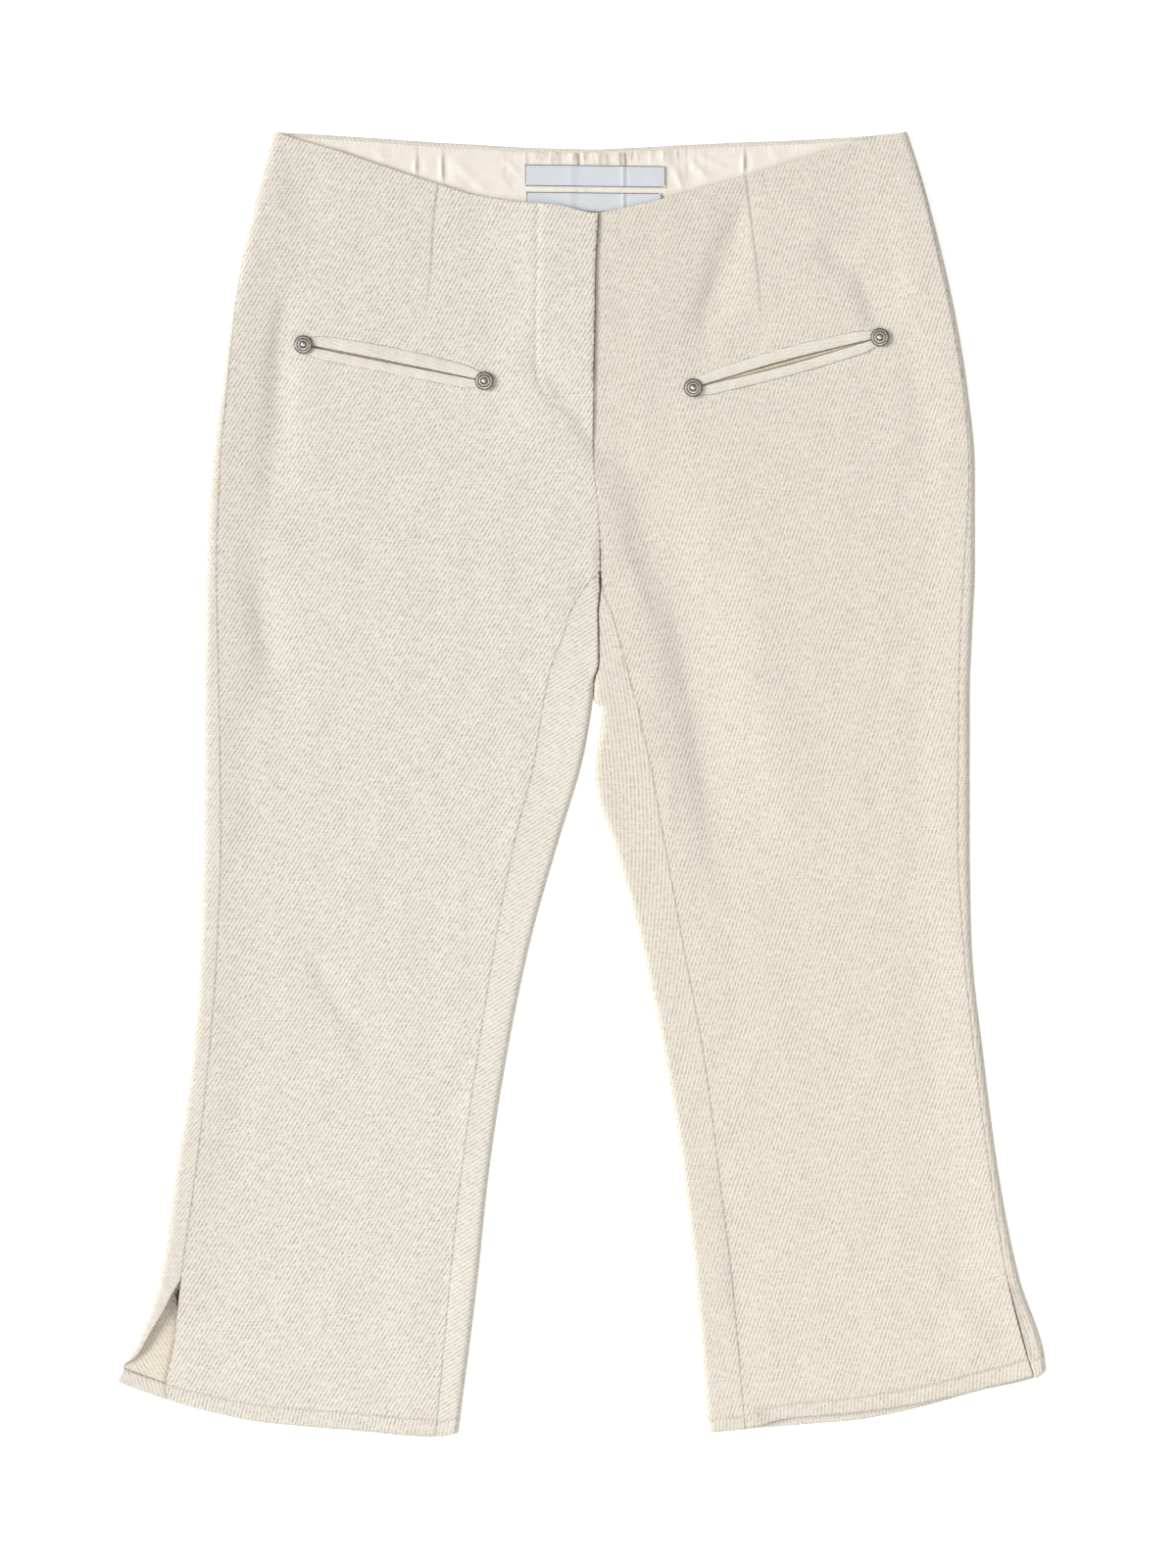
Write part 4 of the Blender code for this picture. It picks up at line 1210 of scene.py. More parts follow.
@dataclass
class Wardrobe:
    """All finishes of the garment, made once and found by a short name."""

    made: dict[str, bpy.types.Material] = field(default_factory=dict)

    def __post_init__(self) -> None:
        """Makes each finish."""
        finishes = {
            "right": Twill("twill on the right leg"),
            "left": Twill("twill on the left leg", 70.5, light=linear(229, 222, 208), contrast=0.88),
            "back_right": Twill("twill of the right back", 62.0, contrast=0.8),
            "back_left": Twill("twill of the left back", 72.0, light=linear(230, 223, 209), contrast=0.8),
            "inside": Twill(
                "twill, wrong side", light=linear(229, 220, 204), groove=linear(190, 175, 152), contrast=0.7
            ),
            "turned": Twill(
                "twill, turned in", light=linear(227, 220, 208), groove=linear(184, 174, 160), contrast=0.8
            ),
            "welts": Twill("twill of the welts", light=linear(229, 223, 210), contrast=0.34),
            "satin": Satin("satin"),
            "bag": Satin("pocket satin", linear(222, 212, 190), linear(198, 185, 160), 0.5),
            "label": LabelWeave("label weave"),
            "seam": Thread("seam thread", linear(188, 172, 150), linear(132, 112, 90)),
            "ecru": Thread("ecru thread", linear(206, 193, 174), linear(168, 152, 130)),
            "cream": Thread("cream thread", linear(228, 218, 200), linear(202, 188, 166)),
            "grey": Thread("grey thread", linear(124, 121, 118), linear(88, 85, 82)),
            "pewter": Pewter("pewter", roughness=0.35),
            "patina": Pewter("patina", linear(138, 128, 117), linear(78, 70, 62), 0.5),
            "tape": Tape("zip tape"),
        }
        self.made = {key: finish.material() for key, finish in finishes.items()}

    def __getitem__(self, key: str) -> bpy.types.Material:
        """The finish with this short name."""
        return self.made[key]


# ---------------------------------------------------------------- the panels

SEAM_COLUMNS = (0.0, 0.25, 0.55, 0.95, 1.5, 2.4)
LINE_COLUMNS = (-2.2, -1.1, -0.5, -0.15, 0.15, 0.5, 1.1, 2.2)


@dataclass
class Panels:
    """The four cut panels, each a fine shell on the form of its solid."""

    finishes: Wardrobe
    row_step: float = 2.7
    fine_step: float = 1.5
    shoulder: float = 0.24  # how far the cloth goes down into a seam
    shoulder_reach: float = 1.2
    seam_mark: float = 0.52  # how dark a seam is, where 1 is darkest
    pinch_shade: Point = (133.0, 15.0)  # height of the painted shade where the cloth pinches at the crotch, and its reach
    lap_shadow_from: float = 228.0  # height from which the lap's edge has painted shadow
    dark_hem_patch: Point = (104.5, -365.5)  # middle of the darker patch in the left hem
    edge_mark: float = 0.3  # how dark the turned edge is at the back of the waist
    dart_depth: float = 0.26
    dart_width: float = 0.7
    band_line: float = 0.28  # how far the line of the turned hem is pressed in
    fly_line: float = 0.3
    welt_dent: float = 0.5
    band_turn: float = -15.0  # degrees that the ribs turn by in the hem band
    roll_columns: float = 2.8  # how far fine columns reach along the inner roll, in radii
    floor_margin: float = 27.0
    inner_margin: float = 5.0
    turned_top: float = 6.0  # how far the back's edge is turned in at the waist
    dart_spread: float = 0.085  # how far a dart draws the ribs aside, to its height over the tip
    pinch_shadow: float = 0.42
    open_edge_shadow: float = 0.5  # painted shadow along the front's open edge at a vent
    hem_patch_mark: float = 0.16
    lean_from: float = -200.0  # height from which the ribs of a strip lean over
    lean_reach: float = 260.0
    chart_x: float = 110.0  # where a leg's chart has the x of its place
    heights: Array = field(default_factory=lambda: np.arange(-382.0, 383.0, 1.0))

    def rows(self, fine: Point | None = None) -> Array:
        """Nominal heights of a panel's rows.

        Args:
            fine: Heights between which rows are close together.

        Returns:
            The heights from hem to waist.
        """
        drape = DRAPE
        hem = drape.hem_y + np.array((0.0, 0.25, 0.6, 1.1, 1.8, 3.0, 4.6, 6.4))
        band = drape.hem_y + HEM_BAND + np.array((-1.2, -0.5, -0.15, 0.15, 0.5, 1.2))
        top = drape.waist_y - np.array((3.6, 2.3, 1.3, 0.7, 0.3, 0.0))
        levels = [band[-1], drape.fold_y, top[0]]
        if fine:
            levels = sorted(levels + list(fine))
        body = [np.array([levels[0]])]
        for low, high in zip(levels[:-1], levels[1:]):
            step = self.fine_step if fine and low == fine[0] else self.row_step
            body.append(np.linspace(low, high, round((high - low) / step) + 1)[1:])
        return np.concatenate([hem, band[:-1], *body, top[1:]])

    def front_end(self, cut: Section) -> float:
        """Distance at which a front ends: at the inseam, the centre seam, or under the lap of the fly.

        Args:
            cut: The section.

        Returns:
            The distance on the upper path.
        """
        drape = DRAPE
        if cut.y < drape.crotch_y:
            return cut.line(cut.leg.inside, "inseam")
        x = float(CENTRE_FRONT("x", cut.y))
        if cut.leg is LEFT:
            reach = float(ease((cut.y - drape.fly_end) / drape.underlap_reach))
            x -= (drape.underlap + drape.seam_gap) * reach
        return float(cut.distance(x))

    def between(self, low: float, high: float, count: int) -> Array:
        """Evenly spaced distances between two, without them."""
        return np.linspace(low, high, count + 2)[1:-1]

    def front_columns(self, cut: Section) -> Array:
        """Distances of a front's columns, close together at its seams, its dart and its fly.

        Args:
            cut: The section.

        Returns:
            The distances, from the outseam inwards.
        """
        start, end, dart = cut.line(cut.leg.outside, "outseam"), self.front_end(cut), cut.line(cut.leg.dart)
        edge, line = np.array(SEAM_COLUMNS), np.array(LINE_COLUMNS)
        first = [start + edge, self.between(start + edge[-1], dart + line[0], 40), dart + line]
        last = end - edge[::-1]
        if cut.leg is RIGHT:
            fly = cut.line(FLY_LINE)
            middle = [self.between(dart + line[-1], fly + line[0], 20), fly + line]
            middle.append(self.between(fly + line[-1], last[0], 18))
        else:
            middle = [self.between(dart + line[-1], last[0], 34)]
        return np.concatenate([*first, *middle, last])

    def side_columns(self, cut: Section) -> Array:
        """Distances from the back's side edge, round the side roll, to the floor.

        Args:
            cut: The section.

        Returns:
            The distances, from the edge down.
        """
        wrapped = cut.line(cut.leg.outside, "outseam") - float(cut.leg.vent("free", cut.y))
        quarter = cut.roll * math.pi / 2
        flat = float(cut.leg.vent("open", cut.y))
        start = (1 - flat) * max(wrapped, -quarter) + flat * -quarter
        end = -(quarter + self.floor_margin)
        edge = np.array(SEAM_COLUMNS[:5])
        return np.concatenate([start - edge, self.between(start - edge[-1], end, 28), [end]])

    def floor_columns(self, cut: Section) -> Array:
        """Distances over the floor.

        Args:
            cut: The section.

        Returns:
            The distances, inwards.
        """
        start = cut.roll * math.pi / 2 + self.floor_margin
        end = cut.lower.length - cut.inner_roll * math.pi / 2 - self.inner_margin
        return -np.linspace(start, end, 27)[1:]

    def inner_columns(self, cut: Section) -> Array:
        """Distances from the floor up to the inner edge, or level to the centre back seam."""
        start = cut.lower.length - cut.inner_roll * math.pi / 2 - self.inner_margin
        return -np.linspace(start, cut.lower.length, 10)[1:]

    def strip_columns(self, cut: Section) -> Array:
        """Distances of the back's strip on top, from the inner edge to the inseam.

        Args:
            cut: The section.

        Returns:
            The distances, from the edge to the seam.
        """
        start = cut.upper.length
        end = cut.line(cut.leg.inside, "inseam")
        roll = min(cut.inner_roll * self.roll_columns, 0.6 * (start - end))
        edge = np.array(SEAM_COLUMNS[:5])[::-1] * min(1.0, (start - end - roll) / 3.0)
        first = start - roll * np.linspace(0.0, 1.0, 12) ** 1.7
        return np.concatenate([first, self.between(first[-1], end + edge[0], 6), end + edge])

    def run(self, leg: Leg, heights: Array, columns: Callable[[Section], Array], on_top: bool) -> Array:
        """Where a family of columns lies at each height.

        Args:
            leg: The leg.
            heights: The heights.
            columns: The columns' distances in a section.
            on_top: True where the columns lie on the upper path.

        Returns:
            heights x columns x 6: x, z, the direction out of the cloth, chart, distance.
        """
        places = []
        middle = self.chart_x * leg.side
        for y in heights:
            cut = section(leg, float(y))
            distances = columns(cut)
            if on_top:
                chart = middle - leg.side * (distances - cut.distance(middle))
            else:
                on_floor = np.interp(
                    leg.side * middle, (leg.side * cut.lower.points[:, 0])[::-1], cut.lower.lengths[::-1]
                )
                chart = -(middle + leg.side * (distances + on_floor))
            places.append(np.column_stack([cut.places(distances), chart, distances]))
        return np.array(places)

    def laid(self, leg: Leg, cut: Cut, rows: Array, heights: Array, run: Array) -> dict[str, Array]:
        """Where rows cross columns.

        Args:
            leg: The leg.
            cut: Which of its panels.
            rows: Nominal heights of the rows.
            heights: Heights of the run.
            run: Places of the columns at those heights.

        Returns:
            Grids by name: x, y, z, nx, nz, chart, distance, the nominal distances from_hem and from_top,
            band_mark = how dark the line over the hem is, vented = 1 below the top of the vent, the
            thickness, and the lift out of the solid's form.
        """
        names = ("x", "z", "nx", "nz", "chart", "distance")
        grids = {name: np.zeros((len(rows), run.shape[1])) for name in (*names, "y")}
        for column in range(run.shape[1]):
            y = rows.copy()
            for _ in range(6):
                y = row_height(leg, cut, rows, np.interp(y, heights, run[:, column, 0]))
            grids["y"][:, column] = y
            for i, name in enumerate(names):
                grids[name][:, column] = np.interp(y, heights, run[:, column, i])
        x, y, ones = grids["x"], grids["y"], np.ones_like(grids["x"])
        grids["from_hem"] = (rows - DRAPE.hem_y)[:, None] * ones
        grids["from_top"] = (DRAPE.waist_y - rows)[:, None] * ones
        grids["band_mark"] = leg.band_mark * bell(grids["from_hem"] - HEM_BAND, 0.5)
        grids["vented"] = ease((leg.vent_top - y[:, :1]) / 3.0 + 0.5) * ones
        grids["thickness"] = self.thickness(rows, cut)[:, None] * ones
        grids["lift"] = (DRAPE.lift(x, y) + self.band_relief(rows, x)) * ease((grids["nz"] - 0.2) / 0.6)
        return grids

    def patch(self, grids: dict[str, Array], rows: Array, share: Array, sink: Array, seam: Array) -> Patch:
        """A patch from its grids: a wall about the middle of the cloth, moved and rounded.

        Args:
            grids: Where the rows cross the columns.
            rows: Nominal heights of the rows.
            share: Share of the half thickness that each side of the cloth has.
            sink: How far the outside goes down.
            seam: How much of a seam each place is.

        Returns:
            The patch.
        """
        lift, half = grids["lift"], grids["thickness"] / 2
        normal = np.stack([grids["nx"], np.zeros_like(lift), grids["nz"]], -1)
        normal /= np.linalg.norm(normal, axis=-1, keepdims=True)
        outside = np.stack([grids["x"], grids["y"], grids["z"]], -1)
        core = outside + normal * (lift - half)[..., None]
        outer = core + normal * (half * share - sink)[..., None]
        inner = core - normal * (half * share)[..., None]
        chart = np.stack([grids["chart"], grids["y"]], -1)
        in_band = (rows[:-1] + rows[1:]) / 2 < DRAPE.hem_y + HEM_BAND
        cells = (len(rows) - 1, lift.shape[1] - 1)
        turn = np.where(in_band[:, None], self.band_turn, 0.0) * np.ones(cells)
        inside = np.where(in_band[:, None], 2, 1) * np.ones(cells, int)
        return Patch(outer, inner, chart, seam, np.ones(cells, bool), turn, inside)

    def thickness(self, rows: Array, cut: Cut) -> Array:
        """The rows' thickness: double in the hem band and in the turned edge at the back of the waist.

        Args:
            rows: Nominal heights of the rows.
            cut: Which panel it is.

        Returns:
            A thickness for each row.
        """
        drape = DRAPE
        band = drape.hem_y + HEM_BAND
        extra = (drape.turned - drape.cloth) * (1 - ease((rows - band) / 0.6))
        if cut is Cut.BACK:
            extra = extra + (drape.turned - drape.cloth) * ease((rows - drape.waist_y + 2.6) / 0.6)
        return drape.cloth + extra

    def band_relief(self, rows: Array, x: Array) -> Array:
        """The pressed line above the turned hem, and the slight fullness of the band below it.

        Args:
            rows: Nominal heights of the rows.
            x: Where the rows cross the columns.

        Returns:
            How far each place is moved outwards.
        """
        from_line = rows - DRAPE.hem_y - HEM_BAND
        line = -self.band_line * bell(from_line, 0.7)
        fullness = 0.25 * ease(-from_line / 3.0) * ease((rows - DRAPE.hem_y) / 2.0)
        uneven = 0.75 + 0.35 * np.sin(x / 11.0) * np.sin(x / 4.3 + 1.0)
        return (line + fullness)[:, None] * uneven

    def crease_shade(self, from_crease: Array, y: Array) -> Array:
        """The painted shade in the deep crease between the legs.

        Args:
            from_crease: Distances from it, on the cloth.
            y: Heights.

        Returns:
            The darkness, from 0 to 1.
        """
        top = bell(y - DRAPE.crotch_y, 12.0)
        line = bell(from_crease, 0.75 + 0.45 * top) + 0.28 * top * bell(from_crease, 4.5)
        return np.minimum(1.0, line) * ease((y - DRAPE.fold_y) / 8.0)

    def vent_shade(self, leg: Leg, grids: dict[str, Array], from_side: Array) -> Array:
        """The painted shade of the back in a vent: at its free edge, and where it goes under the front.

        Args:
            leg: The leg.
            grids: Where the rows cross the columns.
            from_side: Distances from the back's side edge.

        Returns:
            The darkness, from 0 to 1.
        """
        x, y, from_hem, top = grids["x"], grids["y"], grids["from_hem"], leg.vent_top
        opened = ease((top - y) / 8.0)
        if leg is LEFT:
            return 0.24 * opened * bell(from_side, 3.4) * ease((from_hem - HEM_BAND) / 2.0)
        laid = np.where(grids["distance"] < 0, 1.0, 0.0)
        line = 0.5 * bell(from_hem - HEM_BAND, 0.6)
        end = 0.6 * bell(from_side, 0.5) * ease((HEM_BAND + 1.0 - from_hem) / 2.0)
        inward = x - leg.outside("outseam", y)
        deep = 1.5 * bell(y - top + 7.0, 12.0) * bell(inward, 3.4)
        # painted shadow where the back goes under the front's edge, darkest near the top of the vent
        under = np.minimum(1.0, np.maximum(0.24 * bell(inward, 2.4), deep))
        return opened * laid * np.maximum.reduce([line, end, under])

    def shoulder_at(self, distance: Array) -> Array:
        """How far the outside goes down beside a seam."""
        return self.shoulder * (1.0 - rounded(distance, self.shoulder_reach))

    def front(self, leg: Leg, pockets: Sequence["Pocket"]) -> bpy.types.Object:
        """One front panel.

        Args:
            leg: Its leg.
            pockets: The pockets that are set in it.

        Returns:
            The piece.
        """
        drape = DRAPE
        rows = self.rows((226.0, 250.0) if leg is RIGHT else None)
        run = self.run(leg, self.heights, self.front_columns, True)
        grids = self.laid(leg, Cut.FRONT, rows, self.heights, run)
        x, y, distance, vented = grids["x"], grids["y"], grids["distance"], grids["vented"]
        from_side = distance - distance[:, :1]
        from_inner = distance[:, -1:] - distance

        grids["lift"] += self.dart_relief(leg, x, y)
        if leg is RIGHT:
            grids["lift"] += self.fly_relief(x, y)
        for pocket in pockets:
            grids["lift"] -= self.welt_dent * pocket.covered(x, y)

        lapped = ease((y[:, -1:] - drape.fly_end + 4.0) / 8.0) * np.ones_like(x)
        turned_inner = 1 - lapped * (1 - rounded(from_inner, drape.cloth / 2))
        turned_side = 1 - vented * (1 - rounded(from_side, drape.cloth / 2))
        ends = rounded(grids["from_hem"], drape.turned / 2) * rounded(grids["from_top"], drape.cloth / 2)
        share = ends * turned_inner * turned_side
        side_sink, inner_sink = self.shoulder_at(from_side), self.shoulder_at(from_inner)
        sink = np.maximum(side_sink * (1 - vented), inner_sink * (1 - lapped))
        # The line of the centre seam, darkened by painted shade where the legs pinch together at the crotch;
        # on the right front a wider painted shadow lies beside it.
        pinch_shade = bell(y - self.pinch_shade[0], self.pinch_shade[1])
        plain = self.seam_mark * (0.5 + 0.5 * ease((drape.pinch_line - y) / 20.0))
        centre = (plain + (1 - plain) * pinch_shade) * bell(from_inner, 0.4 + 0.5 * pinch_shade)
        if leg is RIGHT:
            shadow = self.pinch_shadow * bell(y - self.pinch_shade[0] + 1.0, 9.0)
            centre = np.maximum(centre, shadow * bell(from_inner, 3.0))
        marks = [
            self.seam_mark * bell(from_side, 0.5) * (1 - vented),
            centre * (1 - lapped),
            self.dart_mark(leg, x, y),
            # painted shadow along the lap's raised edge
            lapped * ease((y - self.lap_shadow_from) / 8.0) * bell(from_inner, 1.25),
            # painted shadow along the front's open edge at a vent
            self.open_edge_shadow * vented * bell(from_side, 0.6),
            grids["band_mark"],
        ]
        if leg is LEFT:
            # a darker patch in the left hem band
            from_hem_patch = np.hypot((x - self.dark_hem_patch[0]) / 4.5, (y - self.dark_hem_patch[1]) / 5.0)
            marks.append(self.hem_patch_mark * bell(from_hem_patch, 1.0))
        seam = np.maximum.reduce(marks)
        patch = self.patch(grids, rows, share, sink, seam)
        patch.chart[..., 0] += self.dart_chart(leg, x, y)
        for pocket in pockets:
            patch.kept &= ~pocket.slotted(cells_of(x), cells_of(y))
        return self.panel(f"front_{leg.name}", [patch], leg.name)

    def panel(self, node: str, patches: Sequence[Patch], outside: str) -> bpy.types.Object:
        """The dressed shell of a panel, which has its own finish outside."""
        sides = [self.finishes[key] for key in (outside, "inside", "turned")]
        return dress(shell(f"{node}_cloth", patches, sides), "wool_twill", node)

    def dart_relief(self, leg: Leg, x: Array, y: Array) -> Array:
        """The pressed line of the dart, deepest at the waist."""
        above = ease((y - leg.dart_tip) / 60.0)
        return -self.dart_depth * above * bell(x - leg.dart("x", y), self.dart_width)

    def dart_mark(self, leg: Leg, x: Array, y: Array) -> Array:
        """How dark the dart's line is."""
        above = ease((y - leg.dart_tip) / 40.0)
        return self.seam_mark * above * bell(x - leg.dart("x", y), 0.5)

    def dart_chart(self, leg: Leg, x: Array, y: Array) -> Array:
        """How far the dart has drawn the ribs aside, between it and the centre front.

        Args:
            leg: The leg.
            x: Their x.
            y: Their y.

        Returns:
            How far each place's chart is moved.
        """
        inwards = -leg.side * (x - leg.dart("x", y))
        above = np.maximum(0.0, y - leg.dart_tip)
        return -leg.side * self.dart_spread * above * ease(inwards / 3.0 + 0.5)

    def fly_relief(self, x: Array, y: Array) -> Array:
        """The imprint of the fly's facing and its curved end under the lap.

        Args:
            x: Their x.
            y: Their y.

        Returns:
            How far each place is moved outwards.
        """
        corners = zip(FLY_IMPRINT[:-1], FLY_IMPRINT[1:])
        nearest = np.minimum.reduce([from_segment(x, y, start, end)[1] for start, end in corners])
        return -self.fly_line * bell(nearest, 1.5) + 0.35 * self.fly_line * bell(nearest - 3.5, 2.5)

    def back(self, leg: Leg) -> bpy.types.Object:
        """One back panel: the leg from side edge to inseam, the seat, and the strip in the crotch.

        Args:
            leg: Its leg.

        Returns:
            The piece.
        """
        drape = DRAPE
        rows = self.rows()
        seat_rows = rows[rows >= drape.fold_y - 1e-6]
        leg_rows = rows[rows <= drape.fold_y + 1e-6]
        strip_rows = np.linspace(drape.fold_y, drape.crotch_tip, 28)
        low, high = self.heights[self.heights <= drape.fold_y], self.heights[self.heights >= drape.fold_y]
        crotch = high[high <= drape.crotch_y - 1.0]
        families = (self.side_columns, self.floor_columns, self.inner_columns)

        def seat_run(heights: Array) -> Array:
            """The columns of the side, the floor and the inner edge."""
            return np.concatenate([self.run(leg, heights, family, False) for family in families], 1)

        seat_low, seat_high = seat_run(low), seat_run(high)
        strip_low = self.run(leg, low, self.strip_columns, True)
        strip_high = self.run(leg, crotch, self.strip_columns, True)
        patches = [
            self.stretch(leg, leg_rows, low, np.concatenate([seat_low, strip_low[:, 1:]], 1), True, True),
            self.stretch(leg, seat_rows, high, seat_high, True, False),
            self.stretch(leg, strip_rows, crotch, strip_high, False, True),
        ]
        return self.panel(f"back_{leg.name}", patches, f"back_{leg.name}")

    def stretch(
        self, leg: Leg, rows: Array, heights: Array, run: Array, sided: bool, inseamed: bool
    ) -> Patch:
        """One stretch of a back panel.

        Args:
            leg: The leg.
            rows: Nominal heights of its rows.
            heights: Heights of the run.
            run: Places of its columns.
            sided: True if it starts at the outseam.
            inseamed: True if it ends at the inseam.

        Returns:
            The patch.
        """
        drape = DRAPE
        grids = self.laid(leg, Cut.BACK, rows, heights, run)
        x, y, distance, vented = grids["x"], grids["y"], grids["distance"], grids["vented"]
        from_hem, from_top = grids["from_hem"], grids["from_top"]
        far = np.full_like(x, FAR)
        from_side = distance[:, :1] - distance if sided else far
        from_side = np.where(from_side < -1e-6, far, from_side)
        from_inseam = np.where(distance > 0, distance - distance[:, -1:], far) if inseamed else far
        if sided:
            from_inseam[:, : x.shape[1] // 2] = FAR
        turned_side = 1 - vented * (1 - rounded(from_side, drape.cloth / 2))
        share = rounded(from_hem, drape.turned / 2) * rounded(from_top, drape.turned / 2) * turned_side
        sink = np.maximum(self.shoulder_at(from_side) * (1 - vented), self.shoulder_at(from_inseam))
        marks = [
            self.seam_mark * np.maximum(bell(from_side, 0.5) * (1 - vented), bell(from_inseam, 0.5)),
            self.edge_mark * bell(from_top, 0.45),
            grids["band_mark"],
        ]
        if inseamed and not sided:
            # painted shade in the crease between the legs
            marks.append(self.crease_shade(distance[:, :1] - distance, y))
        if sided:
            # painted shade in the vent
            marks.append(self.vent_shade(leg, grids, from_side))
        patch = self.patch(grids, rows, share, sink, np.maximum.reduce(marks))
        if inseamed:
            band = rows[1:] < drape.hem_y + HEM_BAND
            patch.turn[:, -STRIP_COLUMNS:] = np.where(band, self.band_turn, leg.strip_turn)[:, None]
            above = np.maximum(0.0, y[:, -STRIP_COLUMNS:] - self.lean_from)
            patch.chart[:, -STRIP_COLUMNS:, 0] += leg.strip_lean * above**2 / self.lean_reach
        patch.inside[rows[1:] > drape.waist_y - self.turned_top] = 2
        return patch


# The fly's line, which a line of columns follows on down the leg.
FLY_LINE = Table(
    "y x",
    (380, -25.2), (339, -25.4), (240, -26.5), (180, -28), (124, -32), (50, -50), (-34, -66), (-159, -86),
    (-290, -102), (-377, -110),
)
# The corners of the facing's imprint, from the waist down to the centre front.
FLY_IMPRINT = (
    (-25.4, 339.4), (-26.0, 290.0), (-26.5, 243.0), (-24.5, 232.0), (-18.0, 222.5), (-8.0, 216.5),
    (6.0, 212.5),
)  # fmt: skip


# ---------------------------------------------------------------- the pockets


@dataclass(frozen=True, eq=False)
class Pocket:
    """A slanting pocket mouth with two welts, a rivet at each end and a bag below."""

    leg: Leg
    outer_end: Point
    inner_end: Point
    gape: float  # widest opening between the welts
    skew: float = 1.0  # below 1 the mouth gapes most near its outer end
    upper_bow: float = 2.2  # how much wider the upper welt is at its middle
    welt_width: float = 5.6
    slot_spare: float = 2.0
    slot_ends: float = 0.05

    @property
    def length(self) -> float:
        """Length of the mouth."""
        return math.dist(self.outer_end, self.inner_end)

    @property
    def along(self) -> Array:
        """Its direction inwards."""
        return (np.array(self.inner_end) - np.array(self.outer_end)) / self.length

    @property
    def upwards(self) -> Array:
        """The direction up across it."""
        way = np.array([-self.along[1], self.along[0]])
        return way if way[1] > 0 else -way

    def mouth(self, share: Array, across: Array) -> tuple[Array, Array]:
        """Points at these shares of the way inwards along the mouth, moved up across it.

        Args:
            share: Shares of the way inwards along it.
            across: Distances up across it.

        Returns:
            The points' x and y.
        """
        way, up = self.along, self.upwards
        x = self.outer_end[0] + share * self.length * way[0] + across * up[0]
        return x, self.outer_end[1] + share * self.length * way[1] + across * up[1]

    def local(self, x: Array, y: Array) -> tuple[Array, Array]:
        """The share along the mouth and the distance up across it of these points.

        Args:
            x: Their x.
            y: Their y.

        Returns:
            The share and the distance of each.
        """
        dx, dy = x - self.outer_end[0], y - self.outer_end[1]
        share = (dx * self.along[0] + dy * self.along[1]) / self.length
        return share, dx * self.upwards[0] + dy * self.upwards[1]

    def gape_at(self, share: Array) -> Array:
        """The opening between the welts."""
        return self.gape * np.sin(math.pi * np.clip(share, 0.0, 1.0) ** self.skew) ** 1.6

    def welt_reach(self, share: Array, way: int) -> Array:
        """How far a welt's outer edge is from the middle of the mouth.

        Args:
            share: Shares of the way inwards along it.
            way: 1 for the upper welt and -1 for the lower.

        Returns:
            The distance at each.
        """
        bow = self.upper_bow * np.sin(math.pi * np.clip(share, 0.0, 1.0)) if way > 0 else 0.0
        from_end = np.minimum(share, 1.0 - share) * self.length
        full = 0.7 + 0.3 * ease(from_end / 12.0)
        return self.gape_at(share) / 2 + DRAPE.seam_gap / 2 + (self.welt_width + bow) * full

    def covered(self, x: Array, y: Array) -> Array:
        """1 under the welts and 0 away from them.

        Args:
            x: Their x.
            y: Their y.

        Returns:
            How much of each place is covered.
        """
        share, across = self.local(x, y)
        reach = np.where(across > 0, self.welt_reach(share, 1), self.welt_reach(share, -1))
        inside = ease((reach - np.abs(across)) / 1.6 + 0.5)
        return inside * ease(share * self.length / 2.0 + 0.5) * ease((1 - share) * self.length / 2.0 + 0.5)

    def slotted(self, x: Array, y: Array) -> Array:
        """True where the panel is cut open for the mouth.

        Args:
            x: Their x.
            y: Their y.

        Returns:
            Whether each place is in the slot.
        """
        share, across = self.local(x, y)
        open_ends = (share > self.slot_ends) & (share < 1 - self.slot_ends)
        return open_ends & (np.abs(across) < self.gape_at(share) / 2 + self.slot_spare)


POCKETS = (
    Pocket(RIGHT, (-161.8, 255.7), (-56.6, 234.6), 0.6, 0.5, 2.2, 6.0),
    Pocket(LEFT, (173.3, 259.9), (64.8, 230.6), 2.5, 1.0, 0.9, 6.2),
)


